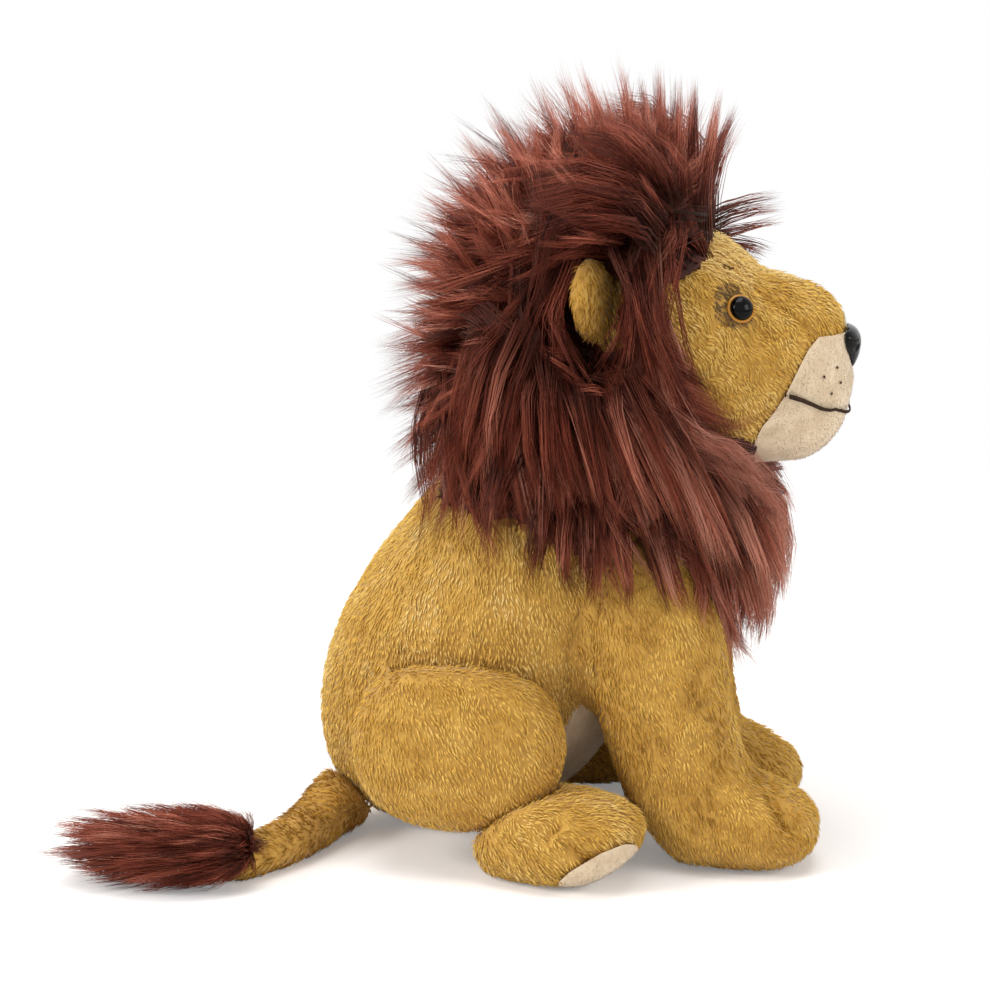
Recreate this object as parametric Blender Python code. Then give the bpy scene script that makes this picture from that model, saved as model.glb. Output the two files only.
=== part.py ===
"""A plush lion that sits: stuffed body, head and limbs, a long-pile mane and a tail that lies on the floor.

The lion looks along +X and +Z is up. Its right side is at -Y. The origin is the middle of the flat
patch under the rump, on the floor. Lengths are in metres.
"""

import math

import bmesh
import bpy
from mathutils import Matrix, Vector
from mathutils.bvhtree import BVHTree

MM = 0.001
MERGE = 0.001 * MM

# Cloth and seams
CLOTH = 2.2 * MM
SEAM = 0.3 * MM
FLAT_SINK = 0.5 * MM
OVERRUN = 6 * MM
POLE_SHARE = 0.25
RIGHT, LEFT = -1, 1

# Torso: a pear that leans forward from the seat to the neck seam
TORSO_HEIGHT = 158 * MM
TORSO_DEPTH = 118 * MM
TORSO_WIDTH = 106 * MM
CROWN_RISE = 12 * MM
TORSO_SIDES = 26
# Each row: up (of the height), back and front (of the depth), width (of the width)
TORSO_SHARES = (
    (0.004, -0.090, 0.090, 0.18),
    (0.020, -0.150, 0.165, 0.27),
    (0.045, -0.215, 0.265, 0.39),
    (0.082, -0.275, 0.375, 0.53),
    (0.152, -0.328, 0.500, 0.71),
    (0.253, -0.352, 0.590, 0.86),
    (0.380, -0.340, 0.640, 0.95),
    (0.519, -0.272, 0.715, 1.00),
    (0.658, -0.160, 0.830, 0.97),
    (0.791, -0.015, 0.885, 0.88),
    (0.886, 0.090, 0.900, 0.80),
    (0.960, 0.185, 0.893, 0.70),
    (1.035, 0.320, 0.845, 0.50),
)
UNDERSIDE_SHARE = 0.16
SEAT_SHARE = 0.0
NECK_SHARE = 0.58

# Belly panel: pale cloth let into the front of the torso
BELLY_WIDTH = 66 * MM
BELLY_LOW_SHARE = 0.10
BELLY_HIGH_SHARE = 0.60
BELLY_BACK_SHARE = 0.30

# Front legs: one tube of cloth from the shoulder to the paw
LEG_THICKNESS = 52 * MM
LEG_WIDTH = 46 * MM
LEG_HEIGHT = 112 * MM
PAW_HEIGHT = 32 * MM
PAW_LENGTH = 58 * MM
LEG_SPREAD_SHARE = 0.295
SHOULDER_SHARE = 0.655
LEG_SIDES = 20
LEFT_PAW_BACK = 9 * MM
# Each row: forward (of the paw length), up (of the leg height), thickness and width
LEG_SHARES = (
    (-0.02, 1.09, 0.56, 0.56),
    (0.02, 1.00, 0.86, 0.82),
    (0.09, 0.85, 1.02, 0.98),
    (0.15, 0.67, 1.00, 1.00),
    (0.21, 0.51, 0.95, 0.96),
    (0.27, 0.39, 0.92, 0.94),
    (0.35, 0.27, 0.90, 0.94),
)
LEG_TOP_SHARE = 1.14
UPRIGHT_RINGS = 3
# Each row: forward (of the paw length), middle and thickness (of the paw height), width
PAW_SHARES = (
    (0.50, 0.59, 1.42, 1.02),
    (0.70, 0.50, 1.06, 1.07),
    (0.90, 0.45, 0.93, 1.05),
    (1.06, 0.41, 0.74, 0.88),
    (1.15, 0.39, 0.46, 0.56),
)
TOE_SHARE = 1.19
PAW_SQUARE_SHARE = 0.80

# Thighs: flattened eggs on the flanks
THIGH_LENGTH = 77 * MM
THIGH_HEIGHT = 62 * MM
THIGH_BULGE = 44 * MM
THIGH_FORWARD_SHARE = 0.155
THIGH_UP = 46 * MM
THIGH_OUT_SHARE = 0.27
THIGH_SIDES = 24
THIGH_SQUARE_SHARE = 0.86
# Each row: out (of the bulge), size (of the length and height)
THIGH_SHARES = (
    (0.00, 0.72),
    (0.30, 0.93),
    (0.52, 1.00),
    (0.74, 0.97),
    (0.88, 0.82),
    (0.97, 0.52),
)

# Hind feet: they point forward and a little outward, with the toes up
FOOT_LENGTH = 61 * MM
FOOT_HEIGHT = 33 * MM
FOOT_WIDTH = 44 * MM
FOOT_HEEL_SHARE = 0.215
FOOT_OUT_SHARE = 0.50
FOOT_TURN = math.radians(12)
FOOT_SIDES = 20
FOOT_SQUARE_SHARE = 0.80
# Each row: forward (of the length), top and bottom (of the height), width
FOOT_SHARES = (
    (0.03, 0.62, 0.12, 0.52),
    (0.13, 0.84, -0.005, 0.78),
    (0.32, 1.00, -0.015, 0.94),
    (0.52, 1.00, -0.015, 1.00),
    (0.70, 0.96, 0.02, 1.00),
    (0.86, 0.88, 0.20, 0.88),
    (0.96, 0.78, 0.38, 0.60),
)
FOOT_POLE_SHARE = 0.45
TOE_POLE_SHARE = 0.60

# Soles: pale cloth sewn over the slanted front of each hind foot
SOLE_TILT = math.radians(38)
SOLE_ROLL = math.radians(20)
SOLE_DEPTH = 5.5 * MM
SOLE_SHARE = 0.80
SOLE_UP_SHARE = 0.20

# Head: long skull and muzzle, open at the neck
HEAD_LENGTH = 117 * MM
HEAD_WIDTH = 84 * MM
HEAD_TOP = 39 * MM
HEAD_BOTTOM = 49 * MM
HEAD_UP = 29 * MM
HEAD_BACK_SHARE = 0.305
HEAD_SIDES = 24
# Each row: forward (of the length), middle and top (of the top), bottom (of the bottom), width
HEAD_SHARES = (
    (0.035, 0.00, 0.42, -0.492, 0.40),
    (0.110, 0.00, 0.68, -0.794, 0.68),
    (0.210, 0.00, 0.87, -0.937, 0.88),
    (0.340, 0.00, 0.98, -1.000, 1.00),
    (0.480, 0.00, 0.98, -1.000, 1.00),
    (0.565, 0.00, 0.92, -0.984, 0.97),
    (0.640, -0.04, 0.74, -0.968, 0.90),
    (0.705, -0.10, 0.55, -0.952, 0.79),
    (0.780, -0.14, 0.515, -0.945, 0.67),
    (0.850, -0.18, 0.47, -0.930, 0.58),
    (0.920, -0.21, 0.38, -0.830, 0.46),
    (0.970, -0.28, 0.18, -0.660, 0.30),
)
HEAD_SQUARE_SHARE = 0.88
HEAD_POLE_SHARE = 0.0
SNOUT_POLE_SHARE = -0.42

# Muzzle and chin: pale cloth, parted at the mouth seam. Corners are shares of the head's length and top
FAR_SHARE = 1.30
MUZZLE_SHARES = (
    (0.895, 0.05),
    (0.866, -0.05),
    (0.834, -0.25),
    (0.804, -0.445),
)
MOUTH_SHARES = ((0.804, -0.445), (0.845, -0.49), (0.893, -0.58), (0.930, -0.635), (1.10, -0.635))
CHIN_SHARES = ((0.770, -0.61), (0.733, -0.75), (0.700, -1.00), (0.690, -1.60))

# Eyes and nose: moulded parts, each with a stem through the cloth and a washer behind it
EYE_DIAMETER = 10 * MM
EYE_DOME = 3.0 * MM
EYE_SEAT_SHARE = 0.16
EYE_STEPS = 5
STEM_DIAMETER = 3.2 * MM
STEM_LENGTH = 8.5 * MM
WASHER_DIAMETER = 9 * MM
WASHER_THICKNESS = 1.2 * MM
WASHER_STANDOFF = 2.0 * MM
TURNED_STEPS = 20
EYE_FORWARD_SHARE = 0.665
EYE_UP_SHARE = 0.34
EYE_ASIDE_SHARE = 0.60
NOSE_WIDTH = 22 * MM
NOSE_HEIGHT = 17 * MM
NOSE_DEPTH = 9.5 * MM
NOSE_UP_SHARE = -0.10
NOSE_OUT_SHARE = 0.40
NOSE_LOW_SHARE = 0.55
NOSE_SIDES = 18
# Each row: up (of the height), forward and depth (of the depth), width
NOSE_SHARES = (
    (0.03, -0.10, 0.40, 0.16),
    (0.14, -0.05, 0.66, 0.30),
    (0.36, 0.02, 0.88, 0.52),
    (0.60, 0.03, 1.00, 0.86),
    (0.78, 0.00, 0.98, 1.00),
    (0.92, -0.06, 0.78, 0.86),
    (0.985, -0.12, 0.42, 0.50),
)
NOSTRIL_DIAMETER = 4.2 * MM
NOSTRIL_SEGMENTS = (12, 8)
NOSTRIL_OUT_SHARE = 0.27
NOSTRIL_UP_SHARE = 0.55

# Ears: cupped pads sewn to the head along one edge
EAR_REACH = 27 * MM
EAR_HEIGHT = 31 * MM
EAR_THICKNESS = 7 * MM
EAR_BEAD = 3.6 * MM
EAR_FORWARD_SHARE = 0.300
EAR_UP_SHARE = 0.36
EAR_LEAN = math.radians(20)
EAR_SWEEP = math.radians(24)
EAR_FOLD = math.radians(35)
EAR_SIDES = 18
# Each row: out (of the reach), height, thickness
EAR_SHARES = (
    (0.00, 0.72, 0.46),
    (0.12, 0.80, 0.50),
    (0.30, 0.94, 0.84),
    (0.52, 1.00, 1.00),
    (0.72, 0.92, 0.96),
    (0.87, 0.70, 0.76),
    (0.96, 0.40, 0.46),
)
POCKET_ROOM = 3.0 * MM
POCKET_STEPS = 8
POCKET_CORNER_SHARES = (0.70, 0.45)
WINDOW_AT_SHARE = 0.38
WINDOW_SIDES = 14
# Each row: out, half length (of the ear's reach), half height (of the ear's height)
WINDOW_SHARES = (
    (0.00, 0.43, 0.59),
    (0.60, 0.52, 0.68),
    (2.20, 0.93, 1.00),
)
POST_RADIUS = EAR_THICKNESS / 2 + POCKET_ROOM
POST_SPARE = 1.4 * MM

# Mane: long pile in lapped locks round the head, with a bib on the chest
MANE_LENGTH = 122 * MM
MANE_RISE = 86 * MM
MANE_DROP = 96 * MM
MANE_WIDTH = 144 * MM
MANE_BACK = -13 * MM
MANE_LOCKS = 18
LOCK_SHARE = 0.06
MANE_LOW_SQUARE_SHARE = 0.58
LOCK_TRAIL = 5 * MM
# Each row: forward (of the length), top (of the rise), bottom (of the drop), width
MANE_SHARES = (
    (0.02, 0.26, 0.34, 0.26),
    (0.10, 0.54, 0.60, 0.58),
    (0.22, 0.74, 0.72, 0.79),
    (0.36, 0.89, 0.82, 0.93),
    (0.52, 0.98, 0.90, 1.00),
    (0.68, 1.00, 0.96, 1.00),
    (0.82, 0.98, 1.00, 0.94),
    (0.93, 0.91, 0.98, 0.82),
    (0.985, 0.70, 0.80, 0.58),
)
BIB_LENGTH = 106 * MM
BIB_WIDTH = 96 * MM
BIB_DEPTH = 50 * MM
BIB_LOCKS = 12
BIB_TOP_SHARE = 1.10
# Each row: down (of the bib length), forward (of the torso depth), depth, width
BIB_SHARES = (
    (0.03, 0.86, 0.44, 0.50),
    (0.14, 0.91, 0.78, 0.82),
    (0.34, 0.93, 0.98, 1.00),
    (0.54, 0.93, 1.00, 0.96),
    (0.72, 0.935, 0.84, 0.80),
    (0.87, 0.95, 0.56, 0.54),
    (0.96, 0.965, 0.28, 0.28),
)
CROWN_WIDTH = 44 * MM
CROWN_FRONT_SHARE = 0.45
BIB_SEAM_SHARE = 1.01
BIB_SEAM_TILT = math.radians(24)
FACE_SHARES = (
    (1.00, 2.40),
    (0.600, 1.20),
    (0.590, 0.90),
    (0.440, 0.74),
    (0.405, 0.45),
    (0.415, 0.27),
    (0.465, 0.06),
    (0.570, -0.25),
    (0.675, -0.60),
    (0.745, -1.02),
    (1.10, -1.30),
    (1.40, 0.60),
)

# Tail and its tuft: they lie on the floor behind the seat
TAIL_LENGTH = 84 * MM
TAIL_THICKNESS = 25 * MM
TAIL_ROOT_SHARE = -0.170
TAIL_SIDES = 16
TAIL_HINGE_SHARES = (-0.271, -0.152, 0.98)
# Each row: back and sideways (of the tail length), middle and thickness (of the tail thickness)
TAIL_SHARES = (
    (0.010, -0.010, 0.64, 0.46),
    (0.060, -0.080, 0.56, 0.80),
    (0.120, -0.175, 0.50, 0.98),
    (0.165, -0.315, 0.43, 0.87),
    (0.205, -0.475, 0.365, 0.76),
    (0.260, -0.640, 0.335, 0.70),
    (0.345, -0.795, 0.31, 0.66),
    (0.440, -0.925, 0.29, 0.62),
    (0.520, -0.995, 0.28, 0.40),
)
TUFT_LENGTH = 70 * MM
TUFT_THICKNESS = 30 * MM
TUFT_WIDTH = 40 * MM
TUFT_LOCKS = 9
# Each row: along and sideways (of the tuft length), middle and thickness (of the tuft thickness)
TUFT_SHARES = (
    (-0.09, 0.03, 0.42, 0.50),
    (0.02, -0.03, 0.45, 0.80),
    (0.20, -0.11, 0.48, 1.00),
    (0.42, -0.15, 0.48, 1.00),
    (0.62, -0.13, 0.46, 0.84),
    (0.80, -0.08, 0.43, 0.58),
    (0.93, -0.02, 0.40, 0.28),
)
TUFT_START_SHARE = 0.88
TUFT_HEADING = math.radians(178)


def clear_scene():
    for ob in list(bpy.data.objects):
        bpy.data.objects.remove(ob, do_unlink=True)


def colour(name, hex_code, rough, sheen=0.0):
    """A plain material from an sRGB hex colour."""
    material = bpy.data.materials.new(name)
    material.use_nodes = True
    shader = material.node_tree.nodes["Principled BSDF"]
    parts = [int(hex_code[i : i + 2], 16) / 255 for i in (0, 2, 4)]
    linear = [p / 12.92 if p <= 0.04045 else ((p + 0.055) / 1.055) ** 2.4 for p in parts]
    shader.inputs["Base Color"].default_value = (*linear, 1)
    shader.inputs["Roughness"].default_value = rough
    shader.inputs["Metallic"].default_value = 0
    shader.inputs["Sheen Weight"].default_value = sheen
    return material


def new_object(name, bm, material):
    """Turns a bmesh into an object of triangles, shaded smooth."""
    bmesh.ops.recalc_face_normals(bm, faces=bm.faces)
    bmesh.ops.triangulate(bm, faces=bm.faces)
    mesh = bpy.data.meshes.new(name)
    bm.to_mesh(mesh)
    bm.free()
    mesh.shade_smooth()
    ob = bpy.data.objects.new(name, mesh)
    if material:
        ob.data.materials.append(material)
    bpy.context.collection.objects.link(ob)
    return ob


def cutter(ob):
    """Marks an object as a helper that isn't part of the lion."""
    ob.hide_render = True
    ob.display_type = "WIRE"
    return ob


def cut(target, tool, operation="DIFFERENCE"):
    step = target.modifiers.new(tool.name, "BOOLEAN")
    step.operation = operation
    step.object = tool
    step.solver = "EXACT"


class Ring:
    """One oval of a stuffed form: its middle, its reaches across, up and down, and how square it is."""

    def __init__(self, middle, across, up, down=None, square=1.0, low_square=None):
        self.middle = Vector(middle)
        self.across = Vector(across)
        self.up = Vector(up)
        self.down = Vector(down) if down is not None else -self.up
        self.square = square
        self.low_square = low_square or square

    def point(self, turn, swell=1.0):
        side, rise = math.cos(turn), math.sin(turn)
        square = self.square if rise >= 0 else self.low_square
        side = math.copysign(abs(side) ** square, side)
        rise = math.copysign(abs(rise) ** square, rise)
        reach = self.up * rise if rise >= 0 else self.down * -rise
        return self.middle + (self.across * side + reach) * swell


def grown(ring, by):
    """The same ring, larger all round."""
    bigger = Ring(ring.middle, ring.across, ring.up, ring.down, ring.square, ring.low_square)
    for name in ("across", "up", "down"):
        reach = getattr(ring, name)
        setattr(bigger, name, reach * (1 + by / reach.length))
    return bigger


def loft(name, rings, start, end, sides, material=None, by=0.0, locks=0, trail=None):
    """A closed form through the rings, with a pole at each end.

    With locks, each second point stands proud and trails behind, so that the form looks like lapped tufts.
    """
    first = (start - rings[0].middle).normalized() * by
    last = (end - rings[-1].middle).normalized() * by
    bm = bmesh.new()
    rows = []
    for i, ring in enumerate(rings):
        ring = grown(ring, by)
        count = 2 * locks if locks else sides
        row = []
        for j in range(count):
            turn = math.tau * j / count
            inner = 0 < i < len(rings) - 1
            proud = locks and inner and (i + j) % 2
            swell = 1 + (LOCK_SHARE if proud else -LOCK_SHARE if inner else 0)
            place = ring.point(turn, swell if locks else 1)
            row.append(bm.verts.new(place + trail if proud else place))
        rows.append(row)
    for one, two in zip(rows, rows[1:]):
        for j in range(len(one)):
            k = (j + 1) % len(one)
            bm.faces.new((one[j], one[k], two[k], two[j]))
    for pole, row in ((start + first, rows[0]), (end + last, rows[-1])):
        tip = bm.verts.new(pole)
        for j in range(len(row)):
            bm.faces.new((row[j], row[(j + 1) % len(row)], tip))
    return new_object(name, bm, material)


def along_path(points, thickness, width, across):
    """Rings square to a path, for limbs and the tail."""
    rings = []
    for i, point in enumerate(points):
        ahead = points[min(i + 1, len(points) - 1)]
        behind = points[max(i - 1, 0)]
        heading = (ahead - behind).normalized()
        side = across(heading)
        rise = side.cross(heading).normalized()
        if rise.z < 0:
            rise = -rise
        rings.append(Ring(point, side * width[i] / 2, rise * thickness[i] / 2))
    return rings


def box(name, low, high):
    """A plain block between two corners, as a cutter."""
    low, high = Vector(low), Vector(high)
    bm = bmesh.new()
    bmesh.ops.create_cube(bm, size=1)
    bmesh.ops.scale(bm, vec=high - low, verts=bm.verts)
    bmesh.ops.translate(bm, vec=(high + low) / 2, verts=bm.verts)
    return cutter(new_object(name, bm, None))


def outset(corners, by):
    """The outline, moved outward by a seam's gap."""
    area = sum(a[0] * b[1] - b[0] * a[1] for a, b in zip(corners, corners[1:] + corners[:1]))
    turn = math.copysign(1, area)
    moved = []
    for i, corner in enumerate(corners):
        before = (Vector(corner) - Vector(corners[i - 1])).normalized()
        after = (Vector(corners[(i + 1) % len(corners)]) - Vector(corner)).normalized()
        one = Vector((before.y, -before.x)) * turn
        two = Vector((after.y, -after.x)) * turn
        moved.append(tuple(Vector(corner) + (one + two) / (1 + one.dot(two)) * by))
    return moved


def prism(name, corners, half_width):
    """A block with a side outline, drawn in X and Z, that runs from one side to the other."""
    bm = bmesh.new()
    outline = [bm.verts.new((x, -half_width, z)) for x, z in corners]
    face = bm.faces.new(outline)
    moved = bmesh.ops.extrude_face_region(bm, geom=[face])["geom"]
    points = [v for v in moved if isinstance(v, bmesh.types.BMVert)]
    bmesh.ops.translate(bm, vec=(0, 2 * half_width, 0), verts=points)
    return cutter(new_object(name, bm, None))


def turned(name, profile, at, aim, material=None):
    """A round piece from (radius, height) points, with its axis along aim."""
    bm = bmesh.new()
    points = [bm.verts.new((r, 0, h)) for r, h in profile]
    edges = [bm.edges.new(pair) for pair in zip(points, points[1:])]
    bmesh.ops.spin(
        bm,
        geom=points + edges,
        axis=(0, 0, 1),
        cent=(0, 0, 0),
        angle=math.tau,
        steps=TURNED_STEPS,
        use_merge=True,
    )
    bmesh.ops.remove_doubles(bm, verts=bm.verts, dist=MERGE)
    turn = Vector(aim).to_track_quat("Z", "Y").to_matrix().to_4x4()
    bmesh.ops.transform(bm, matrix=Matrix.Translation(at) @ turn, verts=bm.verts)
    return new_object(name, bm, material)


def surface(ob):
    bpy.context.view_layer.update()
    return BVHTree.FromObject(ob, bpy.context.evaluated_depsgraph_get())


def torso_rings(by):
    """The torso's rings. An inner form's lowest ones also rise, which keeps the cloth under the seat."""
    rings = []
    for up, back, front, wide in TORSO_SHARES:
        rise = -by * max(0, 1 - up / UNDERSIDE_SHARE)
        middle = Vector(((back + front) / 2 * TORSO_DEPTH, 0, up * TORSO_HEIGHT + rise))
        reach = (front - back) / 2 * TORSO_DEPTH
        rings.append(Ring(middle, (0, wide * TORSO_WIDTH / 2, 0), (reach, 0, 0)))
    return rings


def torso_form(name, by, material=None):
    """The torso's outer form, or one grown or shrunk. Its top is cut later, at the neck seam."""
    seat = Vector((SEAT_SHARE, 0, -FLAT_SINK))
    top = Vector((NECK_SHARE * TORSO_DEPTH, 0, TORSO_HEIGHT + CROWN_RISE))
    return loft(name, torso_rings(by), seat, top, TORSO_SIDES, material, by)


def above_neck(name, gap):
    """What lies above the neck seam, or a seam's gap above or under it."""
    reach = TORSO_DEPTH + TORSO_WIDTH
    low = TORSO_HEIGHT + gap
    return box(name, (-reach, -reach, low), (reach, reach, low + TORSO_HEIGHT))


def under_floor():
    """The floor, as a block that flattens whatever rests on it."""
    reach = TORSO_HEIGHT + MANE_LENGTH + TAIL_LENGTH + TUFT_LENGTH
    return box("floor_cutter", (-reach, -reach, -OVERRUN), (reach, reach, 0))


def belly_block(name, gap):
    """The place of the belly panel in the torso's front."""
    half = BELLY_WIDTH / 2 + gap
    low = BELLY_LOW_SHARE * TORSO_HEIGHT - gap
    high = BELLY_HIGH_SHARE * TORSO_HEIGHT + gap
    back = BELLY_BACK_SHARE * TORSO_DEPTH - gap
    return box(name, (back, -half, low), (TORSO_DEPTH + OVERRUN, half, high))


def make_torso(tan, cream, fill, floor):
    inner = cutter(torso_form("torso_inside", -CLOTH))
    neck = above_neck("neck_cutter", 0)
    torso = torso_form("torso", 0, tan)
    for tool in (inner, neck, floor, belly_block("belly_gap", SEAM)):
        cut(torso, tool)
    belly = torso_form("belly_panel", 0, cream)
    cut(belly, inner)
    cut(belly, belly_block("belly_cutter", 0), "INTERSECT")
    stuffing = torso_form("torso_stuffing", -CLOTH - SEAM, fill)
    cut(stuffing, neck)
    outside = cutter(torso_form("torso_outside", SEAM))
    cut(outside, above_neck("neck_gap", SEAM))
    return torso, outside


def leg_rings(side):
    """The rings of a front leg and its paw."""
    back = LEFT_PAW_BACK if side == LEFT else 0
    out = side * LEG_SPREAD_SHARE * TORSO_WIDTH
    root = SHOULDER_SHARE * TORSO_DEPTH
    points, thick, wide = [], [], []
    for forward, up, thickness, width in LEG_SHARES:
        slide = back * (1 - up)
        points.append(Vector((root + forward * PAW_LENGTH - slide, out, up * LEG_HEIGHT)))
        thick.append(thickness * LEG_THICKNESS)
        wide.append(width * LEG_WIDTH)
    for forward, middle, thickness, width in PAW_SHARES:
        points.append(Vector((root + forward * PAW_LENGTH - back, out, middle * PAW_HEIGHT)))
        thick.append(thickness * PAW_HEIGHT)
        wide.append(width * LEG_WIDTH)
    rings = along_path(points, thick, wide, lambda heading: Vector((0, 1, 0)))
    for ring in rings[:UPRIGHT_RINGS]:
        ring.up = Vector((ring.up.length, 0, 0))
        ring.down = -ring.up
    for ring in rings[len(LEG_SHARES) :]:
        ring.square = ring.low_square = PAW_SQUARE_SHARE
    start = Vector((points[0].x, out, LEG_TOP_SHARE * LEG_HEIGHT))
    end = Vector((root + TOE_SHARE * PAW_LENGTH - back, out, points[-1].z))
    return rings, start, end


def make_front_leg(side, word, tan, torso_outside, floor):
    rings, start, end = leg_rings(side)
    leg = loft(f"front_leg_{word}", rings, start, end, LEG_SIDES, tan)
    cut(leg, torso_outside)
    cut(leg, floor)
    return cutter(loft(f"leg_outside_{word}", rings, start, end, LEG_SIDES, None, SEAM))


def thigh_rings(side):
    root = Vector((THIGH_FORWARD_SHARE * TORSO_DEPTH, side * THIGH_OUT_SHARE * TORSO_WIDTH, THIGH_UP))
    rings = []
    for out, size in THIGH_SHARES:
        middle = root + Vector((0, side * out * THIGH_BULGE, 0))
        across = (size * THIGH_LENGTH / 2, 0, 0)
        rise = (0, 0, size * THIGH_HEIGHT / 2)
        rings.append(Ring(middle, across, rise, None, THIGH_SQUARE_SHARE))
    return rings, root, root + Vector((0, side * THIGH_BULGE, 0))


def make_thigh(side, word, tan, torso_outside):
    rings, start, end = thigh_rings(side)
    thigh = loft(f"thigh_{word}", rings, start, end, THIGH_SIDES, tan)
    cut(thigh, torso_outside)
    return cutter(loft(f"thigh_outside_{word}", rings, start, end, THIGH_SIDES, None, SEAM))


def foot_frame(side):
    """Where a hind foot stands: its heel, turned a little outward."""
    heel = Vector((FOOT_HEEL_SHARE * TORSO_DEPTH, side * FOOT_OUT_SHARE * TORSO_WIDTH, 0))
    return Matrix.Translation(heel) @ Matrix.Rotation(side * FOOT_TURN, 4, "Z")


def foot_form(name, side, by, material=None):
    frame = foot_frame(side)
    rings = []
    for forward, top, bottom, wide in FOOT_SHARES:
        middle = Vector((forward * FOOT_LENGTH, 0, (top + bottom) / 2 * FOOT_HEIGHT))
        rise = Vector((0, 0, (top - bottom) / 2 * FOOT_HEIGHT))
        across = frame.to_3x3() @ Vector((0, wide * FOOT_WIDTH / 2, 0))
        rings.append(Ring(frame @ middle, across, rise, None, FOOT_SQUARE_SHARE))
    start = frame @ Vector((0, 0, FOOT_POLE_SHARE * FOOT_HEIGHT))
    end = frame @ Vector((FOOT_LENGTH, 0, TOE_POLE_SHARE * FOOT_HEIGHT))
    return loft(name, rings, start, end, FOOT_SIDES, material, by)


def sole_block(name, side, gap):
    """The slanted block that holds the sole, or that and the seam's gap."""
    span = FOOT_LENGTH + FOOT_HEIGHT
    bm = bmesh.new()
    bmesh.ops.create_cube(bm, size=span)
    bmesh.ops.translate(bm, vec=(0, 0, -span / 2 - SOLE_DEPTH + gap), verts=bm.verts)
    tilt = Matrix.Rotation(-SOLE_TILT, 4, "Y") @ Matrix.Rotation(side * SOLE_ROLL, 4, "X")
    corner = Vector((SOLE_SHARE * FOOT_LENGTH, 0, SOLE_UP_SHARE * FOOT_HEIGHT))
    place = foot_frame(side) @ Matrix.Translation(corner) @ tilt
    lift = Matrix.Translation((0, 0, SOLE_DEPTH))
    bmesh.ops.transform(bm, matrix=place @ lift, verts=bm.verts)
    return cutter(new_object(name, bm, None))


def make_hind_foot(side, word, tan, cream, neighbours, floor):
    foot = foot_form(f"hind_foot_{word}", side, 0, tan)
    sole = foot_form(f"sole_{word}", side, 0, cream)
    for tool in neighbours:
        cut(foot, tool)
    cut(foot, floor)
    cut(foot, sole_block(f"sole_gap_{word}", side, SEAM))
    cut(sole, sole_block(f"sole_cutter_{word}", side, 0), "INTERSECT")
    cut(sole, floor)


def head_point(forward, up, out=0.0):
    """A place on the head, in shares of its length, its top and its half width."""
    back = HEAD_BACK_SHARE * TORSO_DEPTH
    middle = TORSO_HEIGHT + HEAD_UP
    return Vector((back + forward * HEAD_LENGTH, out * HEAD_WIDTH / 2, middle + up * HEAD_TOP))


def head_form(name, by, material=None):
    rings = []
    for forward, middle, top, bottom, wide in HEAD_SHARES:
        centre = head_point(forward, middle)
        rise = (0, 0, (top - middle) * HEAD_TOP)
        fall = (0, 0, bottom * HEAD_BOTTOM - middle * HEAD_TOP)
        across = (0, wide * HEAD_WIDTH / 2, 0)
        rings.append(Ring(centre, across, rise, fall, HEAD_SQUARE_SHARE))
    start = head_point(0, HEAD_POLE_SHARE)
    end = head_point(1, SNOUT_POLE_SHARE)
    return loft(name, rings, start, end, HEAD_SIDES, material, by)


def head_prism(name, shares, by=0.0):
    """A block across the head with a side outline in head shares, and a seam's gap round it if asked."""
    corners = [head_point(forward, up) for forward, up in shares]
    return prism(name, outset([(c.x, c.z) for c in corners], by), HEAD_WIDTH)


def face_blocks():
    """The outlines of muzzle and chin: their cutters, and the gap that the head leaves for both."""
    high = ((FAR_SHARE, MUZZLE_SHARES[0][1]),)
    low = ((FAR_SHARE, CHIN_SHARES[-1][1]),)
    muzzle = MUZZLE_SHARES + MOUTH_SHARES[1:] + high
    chin = MOUTH_SHARES[::-1] + CHIN_SHARES + low
    both = MUZZLE_SHARES + CHIN_SHARES + low + high
    return muzzle, chin, both


def make_head(tan, cream, fill, torso_outside):
    """The head's cloth, its muzzle and chin, and the filling inside."""
    muzzle_shares, chin_shares, both = face_blocks()
    inner = cutter(head_form("head_inside", -CLOTH))
    head = head_form("head", 0, tan)
    muzzle = head_form("muzzle", 0, cream)
    chin = head_form("chin", 0, cream)
    stuffing = head_form("head_stuffing", -CLOTH - SEAM, fill)
    for ob in (head, muzzle, chin, stuffing):
        cut(ob, torso_outside)
    for ob in (head, muzzle, chin):
        cut(ob, inner)
    cut(head, head_prism("face_gap", both, SEAM))
    cut(muzzle, head_prism("muzzle_cutter", muzzle_shares), "INTERSECT")
    cut(chin, head_prism("chin_cutter", chin_shares), "INTERSECT")
    cut(chin, head_prism("mouth_gap", muzzle_shares, SEAM))
    return head, muzzle, stuffing


def stem_profile(length):
    """A stem's side, from its tip to the skin."""
    radius = STEM_DIAMETER / 2
    return [(0, -length), (radius, -length), (radius, 0)]


def eye_profile():
    """A domed eye with a stem behind it, from the stem's tip to the dome's top."""
    half = EYE_DIAMETER / 2
    rim = EYE_SEAT_SHARE * half
    points = stem_profile(STEM_LENGTH) + [(half - rim, 0), (half, rim / 2)]
    for i in range(1, EYE_STEPS):
        lift = i / EYE_STEPS * math.pi / 2
        points.append((half * math.cos(lift), rim / 2 + EYE_DOME * math.sin(lift)))
    points.append((0, rim / 2 + EYE_DOME))
    return points


def washer_profile(depth):
    """A flat ring on a stem, at this depth behind the seat."""
    bore, half = STEM_DIAMETER / 2 + SEAM, WASHER_DIAMETER / 2
    far = depth + WASHER_THICKNESS
    return [(bore, -far), (half, -far), (half, -depth), (bore, -depth), (bore, -far)]


def socket_profile(depth):
    """The room in the filling for a washer and a stem."""
    half = WASHER_DIAMETER / 2 + SEAM
    far = max(depth + WASHER_THICKNESS, STEM_LENGTH) + SEAM
    return [(0, -far), (half, -far), (half, OVERRUN), (0, OVERRUN)]


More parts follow.
